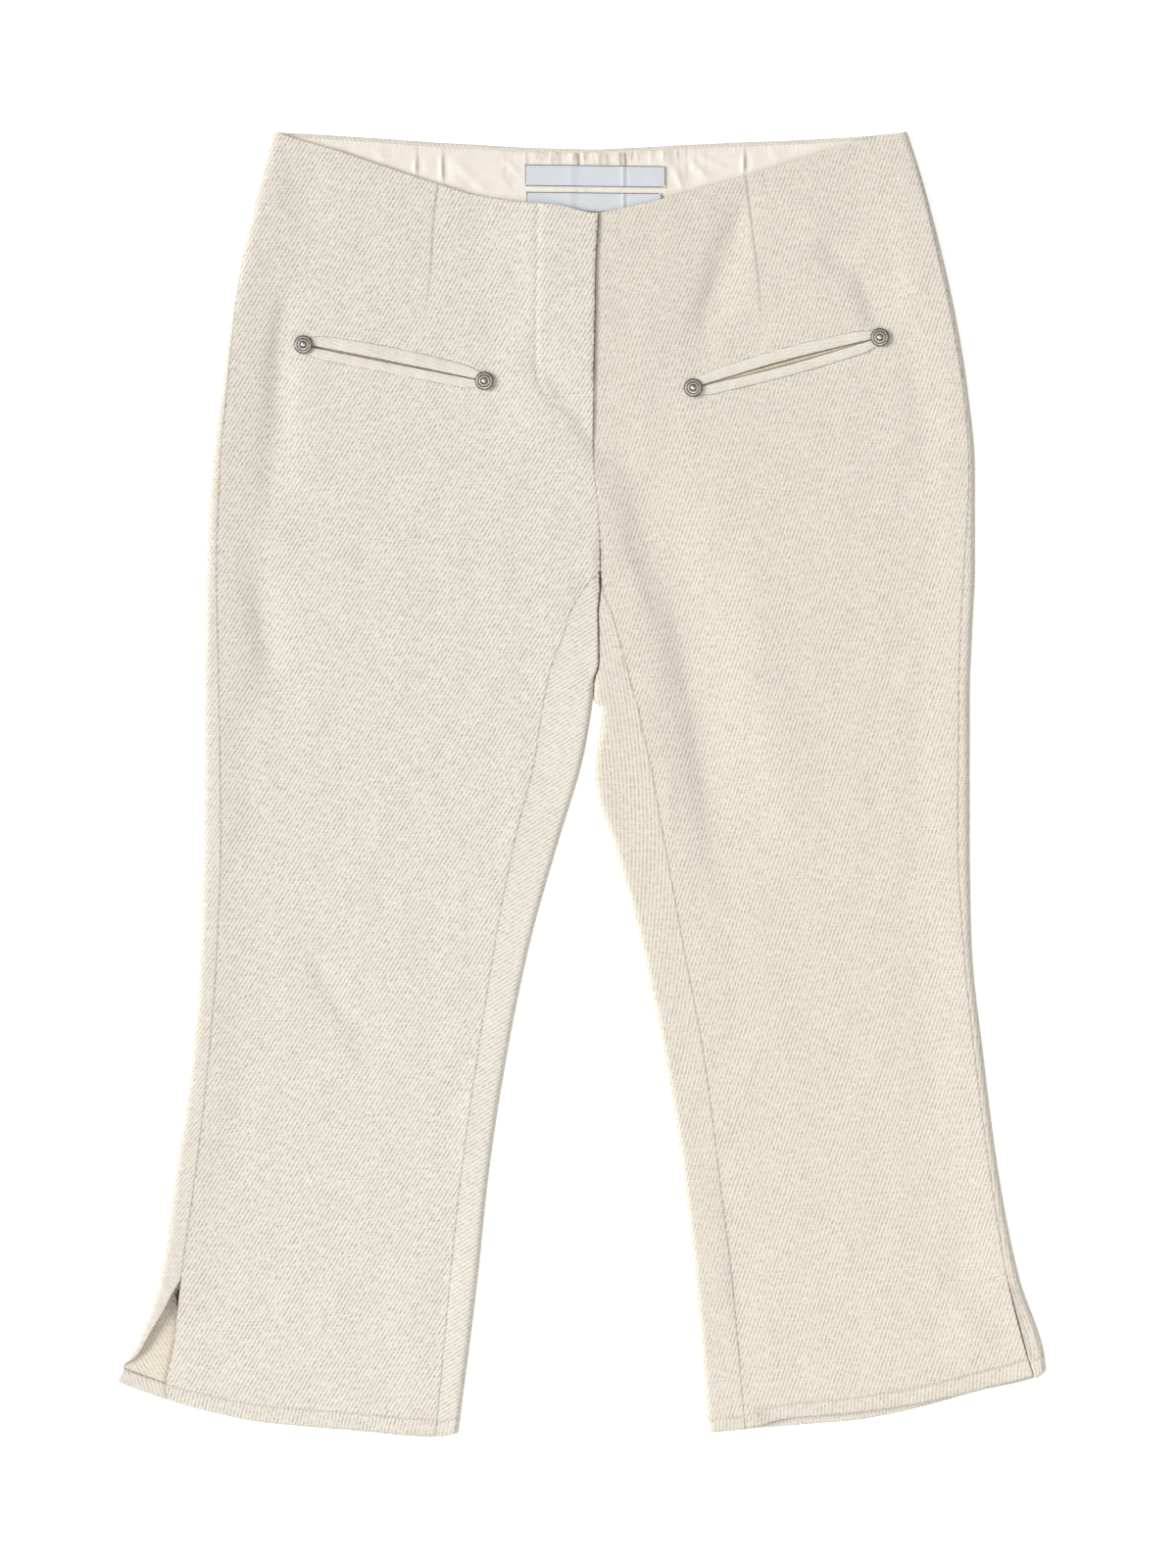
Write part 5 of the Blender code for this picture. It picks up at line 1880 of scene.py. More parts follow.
@dataclass
class PocketWork:
    """What is sewn and riveted on at each pocket mouth."""

    finishes: Wardrobe
    folded: float = 0.32  # flat height of a welt
    puff: float = 0.6  # how far it swells over that
    columns: int = 84
    rows: int = 12
    end_gap: float = 2.6
    welt_cut: float = 10.2  # width of the strip that a welt is folded from
    rib_slant: float = 9.0  # degrees between a welt's ribs and its length
    stitch_every: float = 1.9
    stitch_share: float = 0.7
    stitch_clear: float = 4.0  # from a mouth's ends
    stitch_out: float = 0.25  # from a welt's outer edge
    stitch_sunk: float = 0.08
    stitch_size: Point = (1.5, 0.15)
    bag_depth: float = 118.0
    bag_above: float = 9.0
    bag_rise: float = 1.25  # how far it comes up in the mouth
    rivet_sides: int = 48
    rivet_radius: float = 5.35
    rivet_base: float = 1.3  # underside of the cap over the core's foot
    # rings of the cap inwards: the width of each and how far it rises
    rivet_rings: tuple[Point, ...] = (
        (0.08, 0.22), (0.62, 0.04), (0.10, 0.14), (0.70, 0.06), (0.12, -0.34), (0.52, 0.0), (0.12, 0.36),
        (0.82, 0.06), (0.12, -0.36), (0.58, 0.0), (0.14, 0.50), (0.35, 0.26), (0.40, 0.16), (0.40, 0.06),
    )  # fmt: skip
    rivet_grooves: tuple[Point, ...] = ((4.58, 5.32), (3.16, 3.80), (1.50, 2.22))  # where they are dark
    rivet_turns: dict[str, float] = field(default_factory=lambda: {"outer": 0.35, "inner": -0.2})  # radians
    left_turn: float = 0.6  # radians more on the left leg

    def build(self) -> None:
        """Makes the welts, their stitches, the bags and the rivets."""
        for pocket in POCKETS:
            for way, name in ((1, "upper"), (-1, "lower")):
                self.welt(pocket, way, name)
            self.outline(pocket)
            self.bag(pocket)
        self.rivets()

    def welt(self, pocket: Pocket, way: int, name: str) -> bpy.types.Object:
        """One lip of the mouth: a folded strip, full at its middle, pressed down where it is sewn.

        Args:
            pocket: Its pocket.
            way: 1 for the upper lip and -1 for the lower.
            name: The word for it in the piece's name.

        Returns:
            The piece.
        """
        ends = self.end_gap / pocket.length
        share = np.linspace(ends, 1 - ends, self.columns)[None, :] * np.ones((self.rows, 1))
        turns = (1 - np.cos(np.linspace(0.0, math.pi, self.rows))) / 2
        row = turns[:, None] * np.ones((1, self.columns))
        start = pocket.gape_at(share) / 2 + DRAPE.seam_gap / 2
        reach = start + row * (pocket.welt_reach(share, way) - start)
        x, y = pocket.mouth(share, way * reach)
        length = share * pocket.length
        waver = 0.12 * np.sin(length / 5.3 + way) + 0.08 * np.sin(length / 2.1 + 2 * way)
        crown = np.sqrt(np.clip(1 - (2 * row - 1) ** 2, 0.0, 1.0)) * (self.puff + waver)
        inner = on_cloth(pocket.leg, x, y)
        outer = inner.copy()
        outer[..., 2] += self.folded + crown
        slant = math.radians(Twill.angle - self.rib_slant * pocket.leg.side)
        patch = plain_patch(outer, inner, rotated(length, way * reach, slant))
        # painted shade along the welt's edge at the mouth's slit
        patch.seam[:2] = 1.0
        node = f"welt_{name}_{pocket.leg.name}"
        piece = dress(shell(f"{node}_cloth", [patch], [self.finishes["welts"]]), "wool_twill", node)
        return piece

    def outline(self, pocket: Pocket) -> None:
        """The fine stitches that hold both welts along their outer edges.

        Args:
            pocket: The pocket.
        """
        places = []
        for way in (1, -1):
            count = int(pocket.length / self.stitch_every)
            share = (np.arange(count) + 0.5) / count
            share = share[np.minimum(share, 1 - share) * pocket.length > self.stitch_clear]
            share = share[np.random.default_rng(count).random(len(share)) < self.stitch_share]
            x, y = pocket.mouth(share, way * (pocket.welt_reach(share, way) + self.stitch_out))
            places.append(on_cloth(pocket.leg, x, y, -self.stitch_sunk))
        points = np.concatenate([line[:-1] for line in places])
        ways = np.concatenate([np.diff(line, axis=0) for line in places])  # from each to the next
        name = f"welt_stitches_{pocket.leg.name}"
        sewn(name, points, ways, self.stitch_size, self.finishes["ecru"], "wool_twill")

    def bag(self, pocket: Pocket) -> None:
        """The pouch behind the mouth, against the inside of the front.

        Args:
            pocket: Its pocket.
        """
        rows = np.concatenate([np.linspace(0.0, 0.86, 24), np.linspace(0.87, 0.99, 34), [1.0]])
        row, column = np.meshgrid(rows, np.linspace(0.0, 1.0, 36), indexing="ij")
        narrowing = 0.6 * np.maximum(0.0, (0.35 - row) / 0.35) ** 2
        share = 0.5 + (column - 0.5) * (1.0 - narrowing)
        x, middle = pocket.mouth(share, np.zeros_like(share))
        y = middle + self.bag_above - (1 - row) * (self.bag_above + self.bag_depth)
        base = on_cloth(pocket.leg, x, y, -(DRAPE.cloth + DRAPE.seam_gap))
        outer, inner = base.copy(), base.copy()
        outer[..., 2] += self.bag_rise * (pocket.gape / 2.5) ** 3 * bell(y - middle, 1.5)
        inner[..., 2] -= DRAPE.thin * 0.6
        patch = plain_patch(outer, inner, np.stack([x, y], -1))
        node = f"pocket_bag_{pocket.leg.name}"
        piece = dress(shell(f"{node}_cloth", [patch], [self.finishes["bag"]]), "satin_lining", node)

    def rivets(self) -> None:
        """Four turned caps, modelled once and copied."""
        model = self.rivet_model()
        for pocket in POCKETS:
            for end, place in (("outer", pocket.outer_end), ("inner", pocket.inner_end)):
                name = f"rivet_{end}_{pocket.leg.name}"
                piece = model.copy()
                piece.data = model.data.copy()
                piece.name = f"{name}_cap"
                bpy.context.scene.collection.objects.link(piece)
                angle = self.rivet_turns[end] + (self.left_turn if pocket.leg is LEFT else 0.0)
                points = points_of(piece.data)
                points[:, :2] = rotated(points[:, 0], points[:, 1], angle)
                points += np.array([place[0] * MM, place[1] * MM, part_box(name)[0].z])
                piece.data.vertices.foreach_set("co", points.reshape(-1))
                piece.data.update()
                dress(piece, "pewter", name)
                LOG.info("%s: %d faces", piece.name, len(piece.data.polygons))
        bpy.data.objects.remove(model)

    def rivet_model(self) -> bpy.types.Object:
        """The cap about the origin: rings, grooves and a domed middle on a short core.

        Returns:
            The model, to be copied.
        """
        bpy.ops.object.select_all(action="DESELECT")
        radius, middle = self.rivet_radius * MM, (0.0, 0.0, (self.rivet_base + 0.25) * MM)
        bpy.ops.mesh.primitive_cylinder_add(
            vertices=self.rivet_sides, radius=radius, depth=0.5 * MM, location=middle
        )
        model = bpy.context.active_object
        bpy.ops.object.transform_apply(location=True, rotation=True, scale=True)
        bpy.ops.object.mode_set(mode="EDIT")
        bpy.ops.mesh.select_mode(type="FACE")
        choose_faces(model, 2, 1)
        for width, rise in self.rivet_rings:
            bpy.ops.mesh.inset(thickness=width * MM, depth=rise * MM)
        choose_faces(model, 2, -1)
        for width, drop in ((3.0, 0.0), (0.15, self.rivet_base)):
            bpy.ops.mesh.inset(thickness=width * MM, depth=drop * MM)
        bpy.ops.object.mode_set(mode="OBJECT")
        for material in (self.finishes["pewter"], self.finishes["patina"]):
            model.data.materials.append(material)
        for polygon in model.data.polygons:
            radius = math.hypot(polygon.center.x, polygon.center.y) / MM
            sunk = any(low < radius < high for low, high in self.rivet_grooves)
            polygon.material_index = int(sunk or polygon.normal.z < 0.1)
        bevel = model.modifiers.new("softened rings", "BEVEL")
        bevel.width, bevel.segments, bevel.limit_method = 0.05 * MM, 2, "ANGLE"
        bpy.context.view_layer.objects.active = model
        bpy.ops.object.modifier_apply(modifier=bevel.name)
        bpy.ops.object.shade_smooth_by_angle(angle=math.radians(40.0))
        return model


def stitch(length: float, radius: float) -> bpy.types.Object:
    """One stitch about the origin, lying along X: a plump, tapered bead of thread.

    Args:
        length: Its length.
        radius: Its radius.

    Returns:
        The object.
    """
    bpy.ops.object.select_all(action="DESELECT")
    bpy.ops.mesh.primitive_uv_sphere_add(segments=8, ring_count=5, radius=radius * MM)
    model = bpy.context.active_object
    bpy.ops.object.mode_set(mode="EDIT")
    bpy.ops.mesh.select_all(action="SELECT")
    bpy.ops.transform.rotate(value=math.pi / 2, orient_axis="Y", center_override=(0.0, 0.0, 0.0))
    bpy.ops.transform.resize(value=(length / (2 * radius), 1.0, 0.9), center_override=(0.0, 0.0, 0.0))
    bpy.ops.object.mode_set(mode="OBJECT")
    return model


def sewn(
    name: str, points: Array, ways: Array, size: Point, thread: bpy.types.Material, slot: str
) -> None:
    """A piece of many stitches.

    Args:
        name: Its name.
        points: Where the stitches lie.
        ways: Where they point.
        size: A stitch's length and radius.
        thread: Their finish.
        slot: Passed on to dress, which does not use it.
    """
    dress(joined_copies(name, stitch(*size), frames_along(points, ways), thread), slot)


# ---------------------------------------------------------------- sewing


@dataclass
class Sewing:
    """The stitches that show: in the outseams, the inseams and the centre front seam, and the tacks at the
    tops of the vents.
    """

    finishes: Wardrobe
    seam_every: float = 2.3
    seam_size: Point = (1.5, 0.15)  # a stitch's length and radius
    sunk: float = 0.36
    shows: float = 0.6  # share of the stitches of a seam that can be seen
    outseam_top: float = 379.0
    inseam_top: float = 118.0
    clear: float = 2.0  # between a seam's stitches and the vent or hem
    read_every: float = 3.0  # how close together a line is read
    tack_width: float = 4.0
    tack_size: Point = (1.6, 0.2)

    def build(self) -> None:
        """Makes each line of stitches."""
        for leg in LEGS:
            self.seam_line(leg, "outseam", leg.outside, leg.vent_top + self.clear, self.outseam_top)
            hem = float(leg.hem("front", leg.inside("inseam", leg.inside.at[0])))
            self.seam_line(leg, "inseam", leg.inside, hem + self.clear, self.inseam_top)
            self.bar_tack(leg)
        self.centre_line()

    def line(self, name: str, leg: Leg, x: Array, y: Array, lift: float, size: Point, finish: str) -> None:
        """Stitches along a line on the upper layer.

        Args:
            name: The piece's name.
            leg: The leg.
            x: The line's x, close together.
            y: Its y.
            lift: How far out of the cloth they lie.
            size: A stitch's length and radius.
            finish: The thread.
        """
        points = on_cloth(leg, x, y, lift)
        steps = np.linalg.norm(np.diff(points, axis=0), axis=1)
        lengths = np.concatenate([[0.0], np.cumsum(steps)])
        at = np.arange(self.seam_every / 2, lengths[-1], self.seam_every)
        if finish == "seam":
            at = at[np.random.default_rng(len(at)).random(len(at)) < self.shows]
        behind, places, ahead = (
            np.stack([np.interp(at + step, lengths, points[:, i]) for i in range(3)], -1)
            for step in (-0.5, 0.0, 0.5)
        )
        sewn(name, places, ahead - behind, size, self.finishes[finish], "wool_twill")

    def seam_line(self, leg: Leg, seam: str, table: Table, low: float, high: float) -> None:
        """The thread that shows in the groove of a long seam."""
        y = np.arange(low, high, self.read_every)
        self.line(f"{seam}_stitches_{leg.name}", leg, table(seam, y), y, -self.sunk, self.seam_size, "seam")

    def centre_line(self) -> None:
        """The thread in the centre front seam below the fly."""
        y = np.arange(DRAPE.crotch_y + 1.0, DRAPE.fly_end - 4.0, self.read_every)
        self.line("centre_stitches", RIGHT, CENTRE_FRONT("x", y), y, -self.sunk, self.seam_size, "seam")

    def bar_tack(self, leg: Leg) -> None:
        """The tack at the top of a vent.

        Args:
            leg: The leg.
        """
        y0 = leg.vent_top + 1.0
        x = float(leg.outside("outseam", y0)) + self.tack_width * np.linspace(-0.5, 0.5, 9)
        self.line(f"vent_tack_{leg.name}", leg, x, np.full_like(x, y0), 0.05, self.tack_size, "cream")


# ---------------------------------------------------------------- the fly


@dataclass
class Fly:
    """The shield, the zip's tape and its teeth under the lap."""

    finishes: Wardrobe
    shield: Point = (-26.0, 14.0)
    shield_y: Point = (213.0, 330.0)
    zip_y: Point = (214.0, 326.0)
    zip_centre: float = -11.0
    zip_width: float = 27.0
    tape: float = 0.8
    tooth_every: float = 1.5
    tooth: tuple[float, float, float] = (2.9, 0.8, 0.7)
    tooth_head: float = 0.5
    tooth_out: float = 0.9  # from the middle of the chain

    @property
    def shield_z(self) -> float:
        """Underside of the shield."""
        return DRAPE.cloth + DRAPE.seam_gap + DRAPE.thin + DRAPE.seam_gap

    @property
    def zip_z(self) -> float:
        """Underside of the zip's tape."""
        return self.shield_z + DRAPE.thin + DRAPE.seam_gap

    def build(self) -> None:
        """Makes the three pieces."""
        y, share = np.meshgrid(np.linspace(*self.shield_y, 80), np.linspace(0.0, 1.0, 30), indexing="ij")
        x = CENTRE_FRONT("x", y) + self.shield[0] + share * (self.shield[1] - self.shield[0])
        edge = np.minimum(share, 1 - share) * (self.shield[1] - self.shield[0])
        middle, puff = self.shield_z + DRAPE.thin / 2, DRAPE.thin / 2 * rounded(edge, 0.5)
        patch = slab(x, y, middle - puff, middle + puff)
        shield = shell("fly_shield_cloth", [patch], [self.finishes["right"]])
        dress(shield, "wool_twill", "fly_shield")
        self.zip_tape()
        self.teeth()

    def zip_tape(self) -> None:
        """The two tapes with the channel that the teeth sit in."""
        y, share = np.meshgrid(np.linspace(*self.zip_y, 60), np.linspace(0.0, 1.0, 26), indexing="ij")
        across = (share - 0.5) * self.zip_width
        x = CENTRE_FRONT("x", y) + self.zip_centre + across
        ridge = 0.12 * bell(np.abs(across) - 4.2, 0.7)
        patch = slab(x, y, self.zip_z, self.zip_z + self.tape + ridge)
        tape = shell("zip_tape", [patch], [self.finishes["tape"]])
        dress(tape, "zip_cloth", "zip")

    def teeth(self) -> None:
        """Closed teeth, each from one block with a raised head."""
        bpy.ops.object.select_all(action="DESELECT")
        bpy.ops.mesh.primitive_cube_add(size=1.0)
        model = bpy.context.active_object
        bpy.ops.object.mode_set(mode="EDIT")
        bpy.ops.mesh.select_all(action="SELECT")
        size = tuple(length * MM for length in self.tooth)
        bpy.ops.transform.resize(value=size, center_override=(0.0, 0.0, 0.0))
        choose_faces(model, 0, 1)
        bpy.ops.mesh.extrude_region_move(TRANSFORM_OT_translate={"value": (self.tooth_head * MM, 0.0, 0.0)})
        bpy.ops.transform.resize(value=(1.0, 0.7, 0.8), center_override=(0.0, 0.0, 0.0))
        bpy.ops.object.mode_set(mode="OBJECT")
        y = np.arange(self.zip_y[0] + 2.0, self.zip_y[1] - 4.0, self.tooth_every / 2)
        side = np.where(np.arange(len(y)) % 2, 1.0, -1.0)
        x = CENTRE_FRONT("x", y) + self.zip_centre + side * self.tooth_out
        points = np.stack([x, y, np.full_like(y, self.zip_z + self.tape + self.tooth[2] / 2)], -1)
        ways = np.stack([-side, np.zeros_like(y), np.zeros_like(y)], -1)
        frames = frames_along(points, ways)
        dress(joined_copies("zip_teeth", model, frames, self.finishes["pewter"]), "pewter")


# ---------------------------------------------------------------- inside the waist


@dataclass
class WaistInside:
    """The satin that shows inside the back of the waist, with its gathers, and the two bare labels."""

    finishes: Wardrobe
    top_drop: float = 2.1
    under_front: float = 14.0
    side_inset: float = 6.0
    thin: float = 0.8
    slack: float = 0.3  # how far it lies over its solid's underside
    label_gap: float = 0.62
    label_thick: float = 0.35
    label_thread: Point = (2.1, 0.25)  # a stitch's length and radius
    edge_line: float = 1.6  # how far the line of thread is below the satin's edge
    edge_thread: Point = (1.7, 0.2)
    edge_every: float = 2.4
    edge_reach: Point = (-165.0, 176.0)
    tick_thread: Point = (3.4, 0.2)
    gather_from: float = -40.0
    gather_to: float = 58.0
    gather_rise: float = 0.9
    pressed: float = 0.45
    fold_strength: float = 1.5
    step: float = 0.7
    label_inset: float = 0.35
    label_stitch: float = 1.75
    # each label's node, its left and its right top corner, and its height
    labels: tuple = (
        ("label_upper", (-33.0, 361.0), (48.7, 360.0), 12.6),
        ("label_lower", (-32.2, 345.1), (46.5, 344.2), 11.5),
    )
    # tucks beside the gathers, painted as shade: x, darkness and length
    side_tucks: tuple = (
        (-96.0, 0.30, 17.0), (-80.8, 0.26, 20.0), (95.0, 0.34, 15.0), (60.5, 0.22, 20.0), (66.0, 0.16, 16.0),
        (52.0, 0.20, 12.0), (-45.0, 0.18, 15.0), (72.0, 0.14, 14.0),
    )  # fmt: skip
    # soft folds and tucks of the satin: x and y of each end, rise and width
    folds: tuple = creases(
        (-97, 366, -97, 349, 0.5, 1.3), (-94.6, 367, -94.6, 350, -0.35, 1),
        (-82, 368, -81.5, 346, 0.55, 1.2), (-79.5, 368, -79, 346, -0.4, 1),
        (-77, 366, -53, 342, 0.45, 3.2), (-72, 356, -58, 343, -0.3, 2.2), (-46, 365, -37, 356, 0.4, 2.4),
        (-45, 360, -38, 345, -0.35, 1.8), (94, 369, 94, 350, 0.6, 1.1),
        (96.2, 368, 96.2, 352, -0.4, 0.9), (52, 362, 61, 342, 0.5, 1.8), (56, 364, 66, 346, -0.4, 1.6),
        (61, 366, 76, 350, 0.45, 2.2), (64, 368, 90, 356, 0.35, 2.4), (108, 371, 118, 362, 0.25, 2.6),
        (-122, 371, -112, 362, 0.25, 3),
    )

    @property
    def base(self) -> float:
        """Underside of the satin."""
        return DRAPE.cloth + DRAPE.seam_gap

    def loose(self, x: Array, y: Array) -> Array:
        """Height at which the satin lies in its gathers."""
        return self.base + self.slack + self.relief(x, y)

    def build(self) -> None:
        """Makes the satin, the line of thread along it and the labels."""
        self.satin()
        self.edge_stitches()
        for name, left, right, height in self.labels:
            self.label(name, left, right, height)

    def relief(self, x: Array, y: Array) -> Array:
        """How far the satin is lifted by its gathers and tucks.

        Args:
            x: Their x.
            y: Their y.

        Returns:
            The lift of each place.
        """
        shows = ease((y - WAIST("front", x)) / 6.0)
        inside = ease((x - self.gather_from) / 8.0) * ease((self.gather_to - x) / 8.0)
        phase = 2 * math.pi * x / 9.5 + 1.4 * np.sin(x / 7.0) + 0.8 * np.sin(x / 3.1)
        wave = (0.5 + 0.5 * np.sin(phase)) ** 2 * (0.7 + 0.3 * np.sin(x / 11.0 + 2.0))
        top = WAIST("back", x) - self.top_drop
        near_top = 0.45 + 0.55 * bell(top - y, 6.0)
        pressed = np.ones_like(x)
        for _, (x0, y0), (x1, _), height in self.labels:
            beyond = np.maximum.reduce([x0 - x, x - x1, y - y0, y0 - height - y])
            pressed = np.minimum(pressed, self.pressed + (1 - self.pressed) * ease(beyond / 5.0))
        lift = self.gather_rise * inside * wave * near_top * pressed
        folds = sum(fold.lift(x, y) for fold in self.folds)
        lift += self.fold_strength * folds * np.minimum(1.0, pressed + 0.2)
        return np.maximum(shows * lift, -0.25)

    def satin(self) -> None:
        """The strip itself."""
        ends = [float(leg.outside("outer", 380.0)) - leg.side * self.side_inset for leg in LEGS]
        places = np.linspace(ends[0], ends[1], int((ends[1] - ends[0]) / self.step))
        row, x = np.meshgrid(np.linspace(0.0, 1.0, 44), places, indexing="ij")
        top = WAIST("back", x) - self.top_drop
        bottom = WAIST("front", x) - self.under_front
        y = bottom + row * (top - bottom)
        edge = rounded(top - y, 0.5)
        pucker = 0.18 * bell(top - y - 1.2, 0.8) * np.sin(2 * math.pi * x / 2.6)
        stitched = -0.22 * bell(top - y - self.edge_line, 0.45)
        z = self.loose(x, y) + (pucker + stitched) * ease((y - WAIST("front", x)) / 4.0)
        patch = slab(x, y, np.maximum(z - 0.2, self.base), z + self.thin * edge)
        # painted shade in the pinched pleats
        patch.seam = self.tuck_shade(x, top - y)
        piece = shell("waist_satin", [patch], [self.finishes["satin"]])
        dress(piece, "satin_lining", "waist_lining")

    def tuck_shade(self, x: Array, below: Array) -> Array:
        """The painted shade in the pinched pleats.

        Args:
            x: Places along the satin.
            below: How far they are below its upper edge.

        Returns:
            Their darkness, from 0 to 1.
        """
        rng = np.random.default_rng(5)
        dark = np.zeros_like(x)
        lines = [(-2.2, 0.9, 12.0), (22.6, 0.6, 20.0), (25.2, 0.9, 20.0), *self.side_tucks]
        at = self.gather_from + 8.0
        while at < self.gather_to:
            lines.append((at, rng.uniform(0.15, 0.5), rng.uniform(5.0, 13.0)))
            at += rng.uniform(3.2, 8.5)
        for place, strength, reach in lines:
            line = bell(x - place - 0.05 * below, 0.75)
            dark = np.maximum(dark, strength * line * ease((reach - below) / 4.0) * ease(below / 1.5))
        return dark

    def satin_point(self, x: Array, y: Array, lift: float) -> Array:
        """Points just over the satin."""
        return np.stack([x, y, self.loose(x, y) + self.thin + lift], -1)

    def edge_stitches(self) -> None:
        """The line of thread just below the satin's upper edge, and the ticks of the gathers' elastic."""
        x = np.arange(*self.edge_reach, self.edge_every)
        y = WAIST("back", x) - self.top_drop - self.edge_line
        points = self.satin_point(x, y, -0.32)
        ways = np.gradient(points, axis=0)
        sewn("lining_stitches", points, ways, self.edge_thread, self.finishes["cream"], "satin_lining")
        rng = np.random.default_rng(11)
        ticks = np.cumsum(rng.uniform(3.0, 7.5, 16)) + self.gather_from + 10.0
        ticks = ticks[ticks < self.gather_to - 3.0]
        y = WAIST("back", ticks) - self.top_drop - rng.uniform(2.6, 3.6, len(ticks))
        points = self.satin_point(ticks, y, -0.18)
        ways = np.stack([rng.uniform(-0.15, 0.15, len(ticks)), np.ones(len(ticks)), np.zeros(len(ticks))], -1)
        sewn("gather_ticks", points, ways, self.tick_thread, self.finishes["seam"], "satin_lining")

    def label_height(self, x: Array, y: Array) -> Array:
        """Height of a label's underside over the satin, with its soft creases.

        Args:
            x: Their x.
            y: Their y.

        Returns:
            The height at each place.
        """
        soft = 0.10 * np.sin(x / 4.2 + 0.7) * np.sin(x / 9.0) + 0.06 * np.sin(y / 3.0 + x / 8.0)
        creased = 0.5 * bell(x - 24.2, 0.9) - 0.25 * bell(x - 26.4, 1.0) + 0.3 * bell(x + 6.0, 2.4)
        return self.base + self.slack + self.thin + self.label_gap + soft + creased

    def label(self, name: str, left: Point, right: Point, height: float) -> None:
        """A bare woven label with a line of thread along each side.

        Args:
            name: The node that it stands for.
            left: Its left top corner.
            right: Its right top corner.
            height: Its height.
        """
        row, column = np.meshgrid(np.linspace(0.0, 1.0, 16), np.linspace(0.0, 1.0, 90), indexing="ij")
        x = left[0] + column * (right[0] - left[0])
        y = left[1] + column * (right[1] - left[1]) - (1 - row) * height
        edge = np.minimum(row, 1 - row) * height
        z = self.label_height(x, y) - 0.28 * bell(edge - 0.7, 0.45)
        piece = shell(f"{name}_cloth", [slab(x, y, z, z + self.label_thick)], [self.finishes["label"]])
        dress(piece, "label_weave", name)
        slope = (right[1] - left[1]) / (right[0] - left[0])
        inset, every = self.label_inset, self.label_stitch
        lines = []
        for from_top in (inset, height - inset):
            at = np.arange(left[0] + 1.0, right[0] - 0.8, every)
            lines.append((at, left[1] + (at - left[0]) * slope - from_top))
        for x in (left[0] + inset, right[0] - inset):
            down = np.arange(1.4, height - 1.0, every)
            lines.append((np.full_like(down, x), left[1] + (x - left[0]) * slope - down))
        points, ways = [], []
        for x, y in lines:
            points.append(np.stack([x, y, self.label_height(x, y) + 0.27], -1))
            ways.append(np.gradient(points[-1], axis=0))
        along, ahead = np.concatenate(points), np.concatenate(ways)
        sewn(f"{name}_stitches", along, ahead, self.label_thread, self.finishes["grey"], "label_weave")


# ---------------------------------------------------------------- metal that keeps its solid


@dataclass
class Hardware:
    """Solids whose shape is right, given a better finish."""

    finishes: Wardrobe
    nodes: tuple[str, ...] = ("zip_slider",)

    def build(self) -> None:
        """Puts the metal on each."""
        for name in self.nodes:
            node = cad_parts[name]
            node.data.materials.clear()
            node.data.materials.append(self.finishes["pewter"])


# ---------------------------------------------------------------- the studio


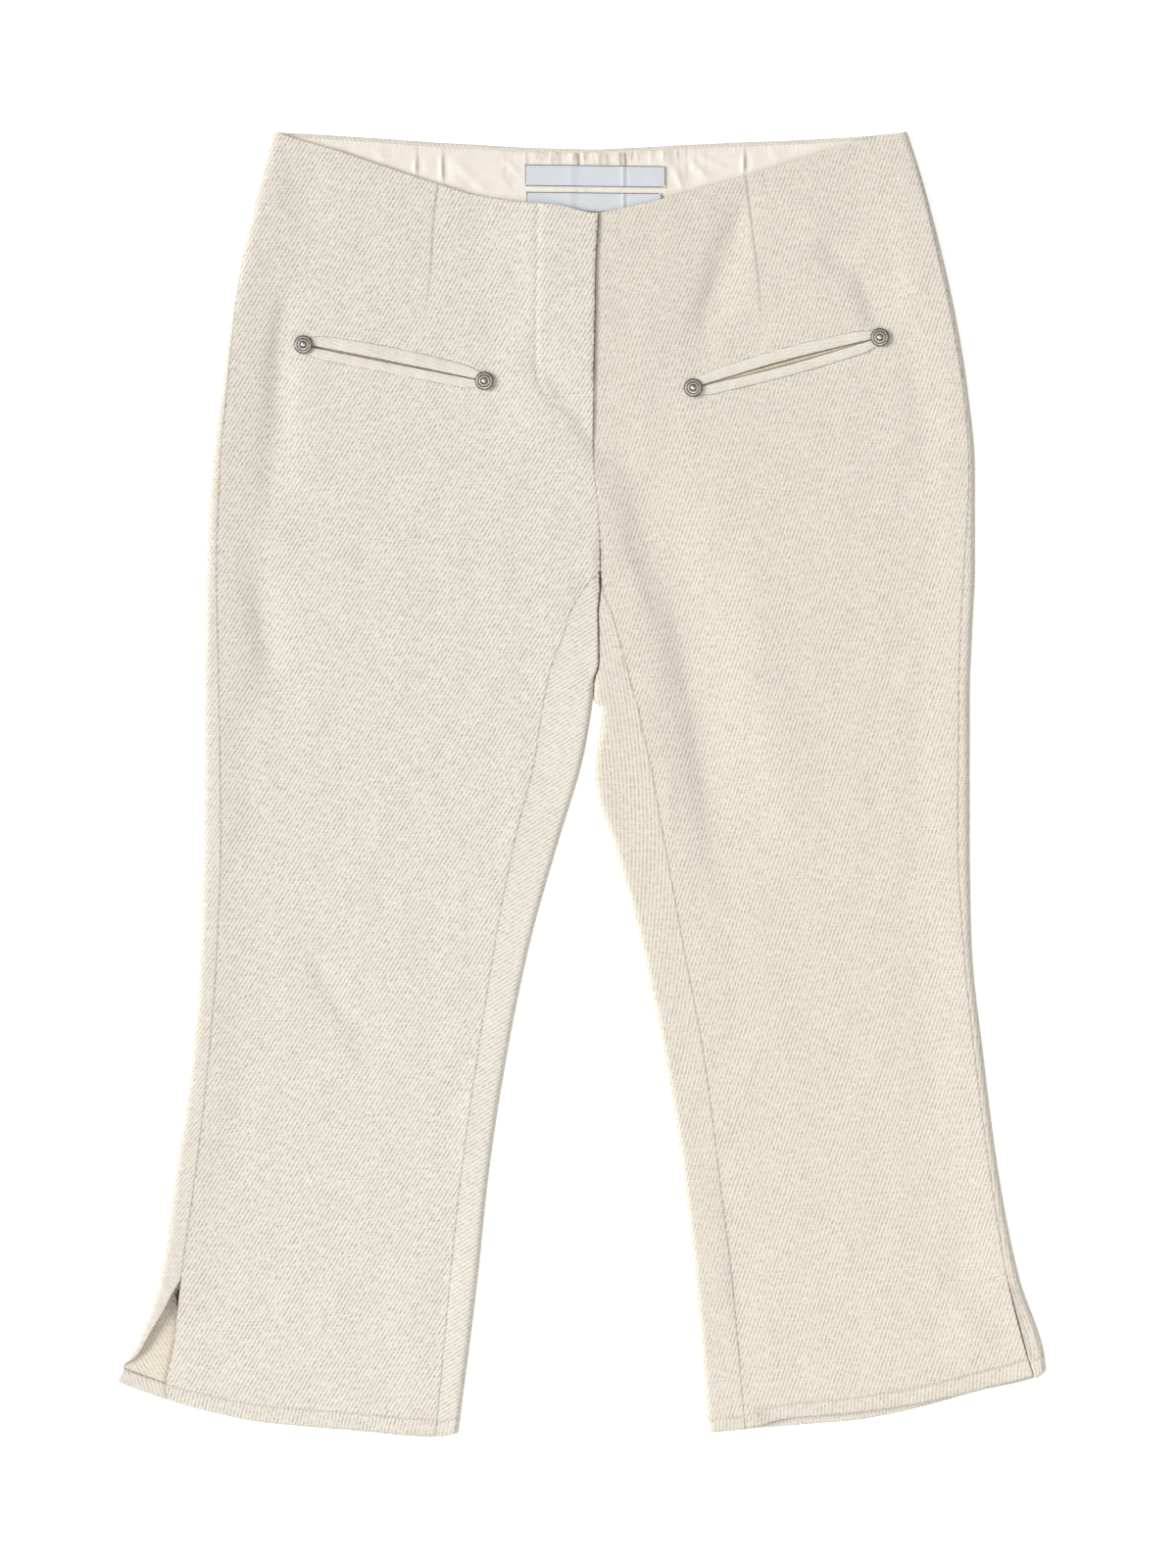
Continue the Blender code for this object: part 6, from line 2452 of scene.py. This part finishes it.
@dataclass
class Studio:
    """A plain pale floor, soft light from above and one side, and the camera straight above."""

    view_height: float = 912.0  # of the picture, at the cloth's level
    camera_height: float = 3000.0
    centre: Point = (3.7, 0.3)
    cloth_level: float = 6.0
    floor_size: float = 9000.0
    floor_glow: float = 0.45  # the floor is a sheet of acrylic, lit from below
    sun_width: float = 30.0  # degrees
    floor_drop: float = 0.4
    sensor: float = 36.0
    surround: float = 0.28  # strength of the light from all sides
    # each light's name, kind, place in metres, power, and width in metres
    lights: tuple = (
        ("key", "SUN", (-2.2, 0.35, 1.6), 2.8),
        ("fill", "AREA", (2.4, -0.8, 3.0), 6.0, 3.0),
        ("top", "AREA", (0.1, -0.9, 2.2), 21.0, 2.0),
    )

    def build(self) -> None:
        """Makes the floor, the lights and the camera."""
        self.floor()
        for light in self.lights:
            self.light(*light)
        world = bpy.data.worlds.new("studio")
        world.use_nodes = True
        background = world.node_tree.nodes["Background"]
        background.inputs["Color"].default_value = (1.0, 1.0, 1.0, 1.0)
        background.inputs["Strength"].default_value = self.surround
        bpy.context.scene.world = world
        bpy.context.scene.view_settings.view_transform = "Standard"
        self.camera()

    def floor(self) -> None:
        """A large pale sheet below the garment."""
        bpy.ops.object.select_all(action="DESELECT")
        place = (0.0, 0.0, -self.floor_drop * MM)
        bpy.ops.mesh.primitive_plane_add(size=self.floor_size * MM, location=place)
        floor = bpy.context.active_object
        bpy.ops.object.transform_apply(location=True, rotation=True, scale=True)
        floor.name = "floor"
        g = Graph("pale floor")
        grain = g.noise(g.place(), 0.02, 2.0).outputs[0]
        g.surface(Base_Color=g.mix(grain, (0.90, 0.90, 0.90), (0.93, 0.93, 0.93)), Roughness=0.9)
        g.surface(Emission_Color=(1.0, 1.0, 1.0, 1.0), Emission_Strength=self.floor_glow)
        floor.data.materials.append(g.material)

    def light(
        self, name: str, kind: str, place: tuple[float, float, float], power: float, size: float = 0.0
    ) -> None:
        """A soft light that faces the garment.

        Args:
            name: Its name.
            kind: SUN for an even light from far away, or AREA.
            place: Where it hangs, in metres.
            power: Its power.
            size: The width of an area, in metres.
        """
        data = bpy.data.lights.new(name, kind)
        data.energy = power
        if kind == "SUN":
            data.angle = math.radians(self.sun_width)
        else:
            data.size = size
        light = bpy.data.objects.new(name, data)
        light.location = place
        aim = -np.array(place)
        light.rotation_mode = "QUATERNION"
        light.rotation_quaternion = Vector(aim).to_track_quat("-Z", "Y")
        bpy.context.scene.collection.objects.link(light)

    def camera(self) -> None:
        """The camera straight above the garment, with a long lens."""
        data = bpy.data.cameras.new("camera")
        data.sensor_width = self.sensor
        data.lens = self.sensor * (self.camera_height - self.cloth_level) / self.view_height
        camera = bpy.data.objects.new("camera", data)
        camera.location = (self.centre[0] * MM, self.centre[1] * MM, self.camera_height * MM)
        bpy.context.scene.collection.objects.link(camera)
        bpy.context.scene.camera = camera


def main() -> None:
    """Builds the garment's pieces and the studio."""
    logging.basicConfig(level=logging.INFO, format="%(message)s")
    finishes = Wardrobe()
    panels = Panels(finishes)
    for leg in LEGS:
        front = panels.front(leg, [pocket for pocket in POCKETS if pocket.leg is leg])
        panels.back(leg)
    for work in (PocketWork, Sewing, Fly, WaistInside, Hardware):
        work(finishes).build()
    Studio().build()


if __name__ == "__main__":
    main()
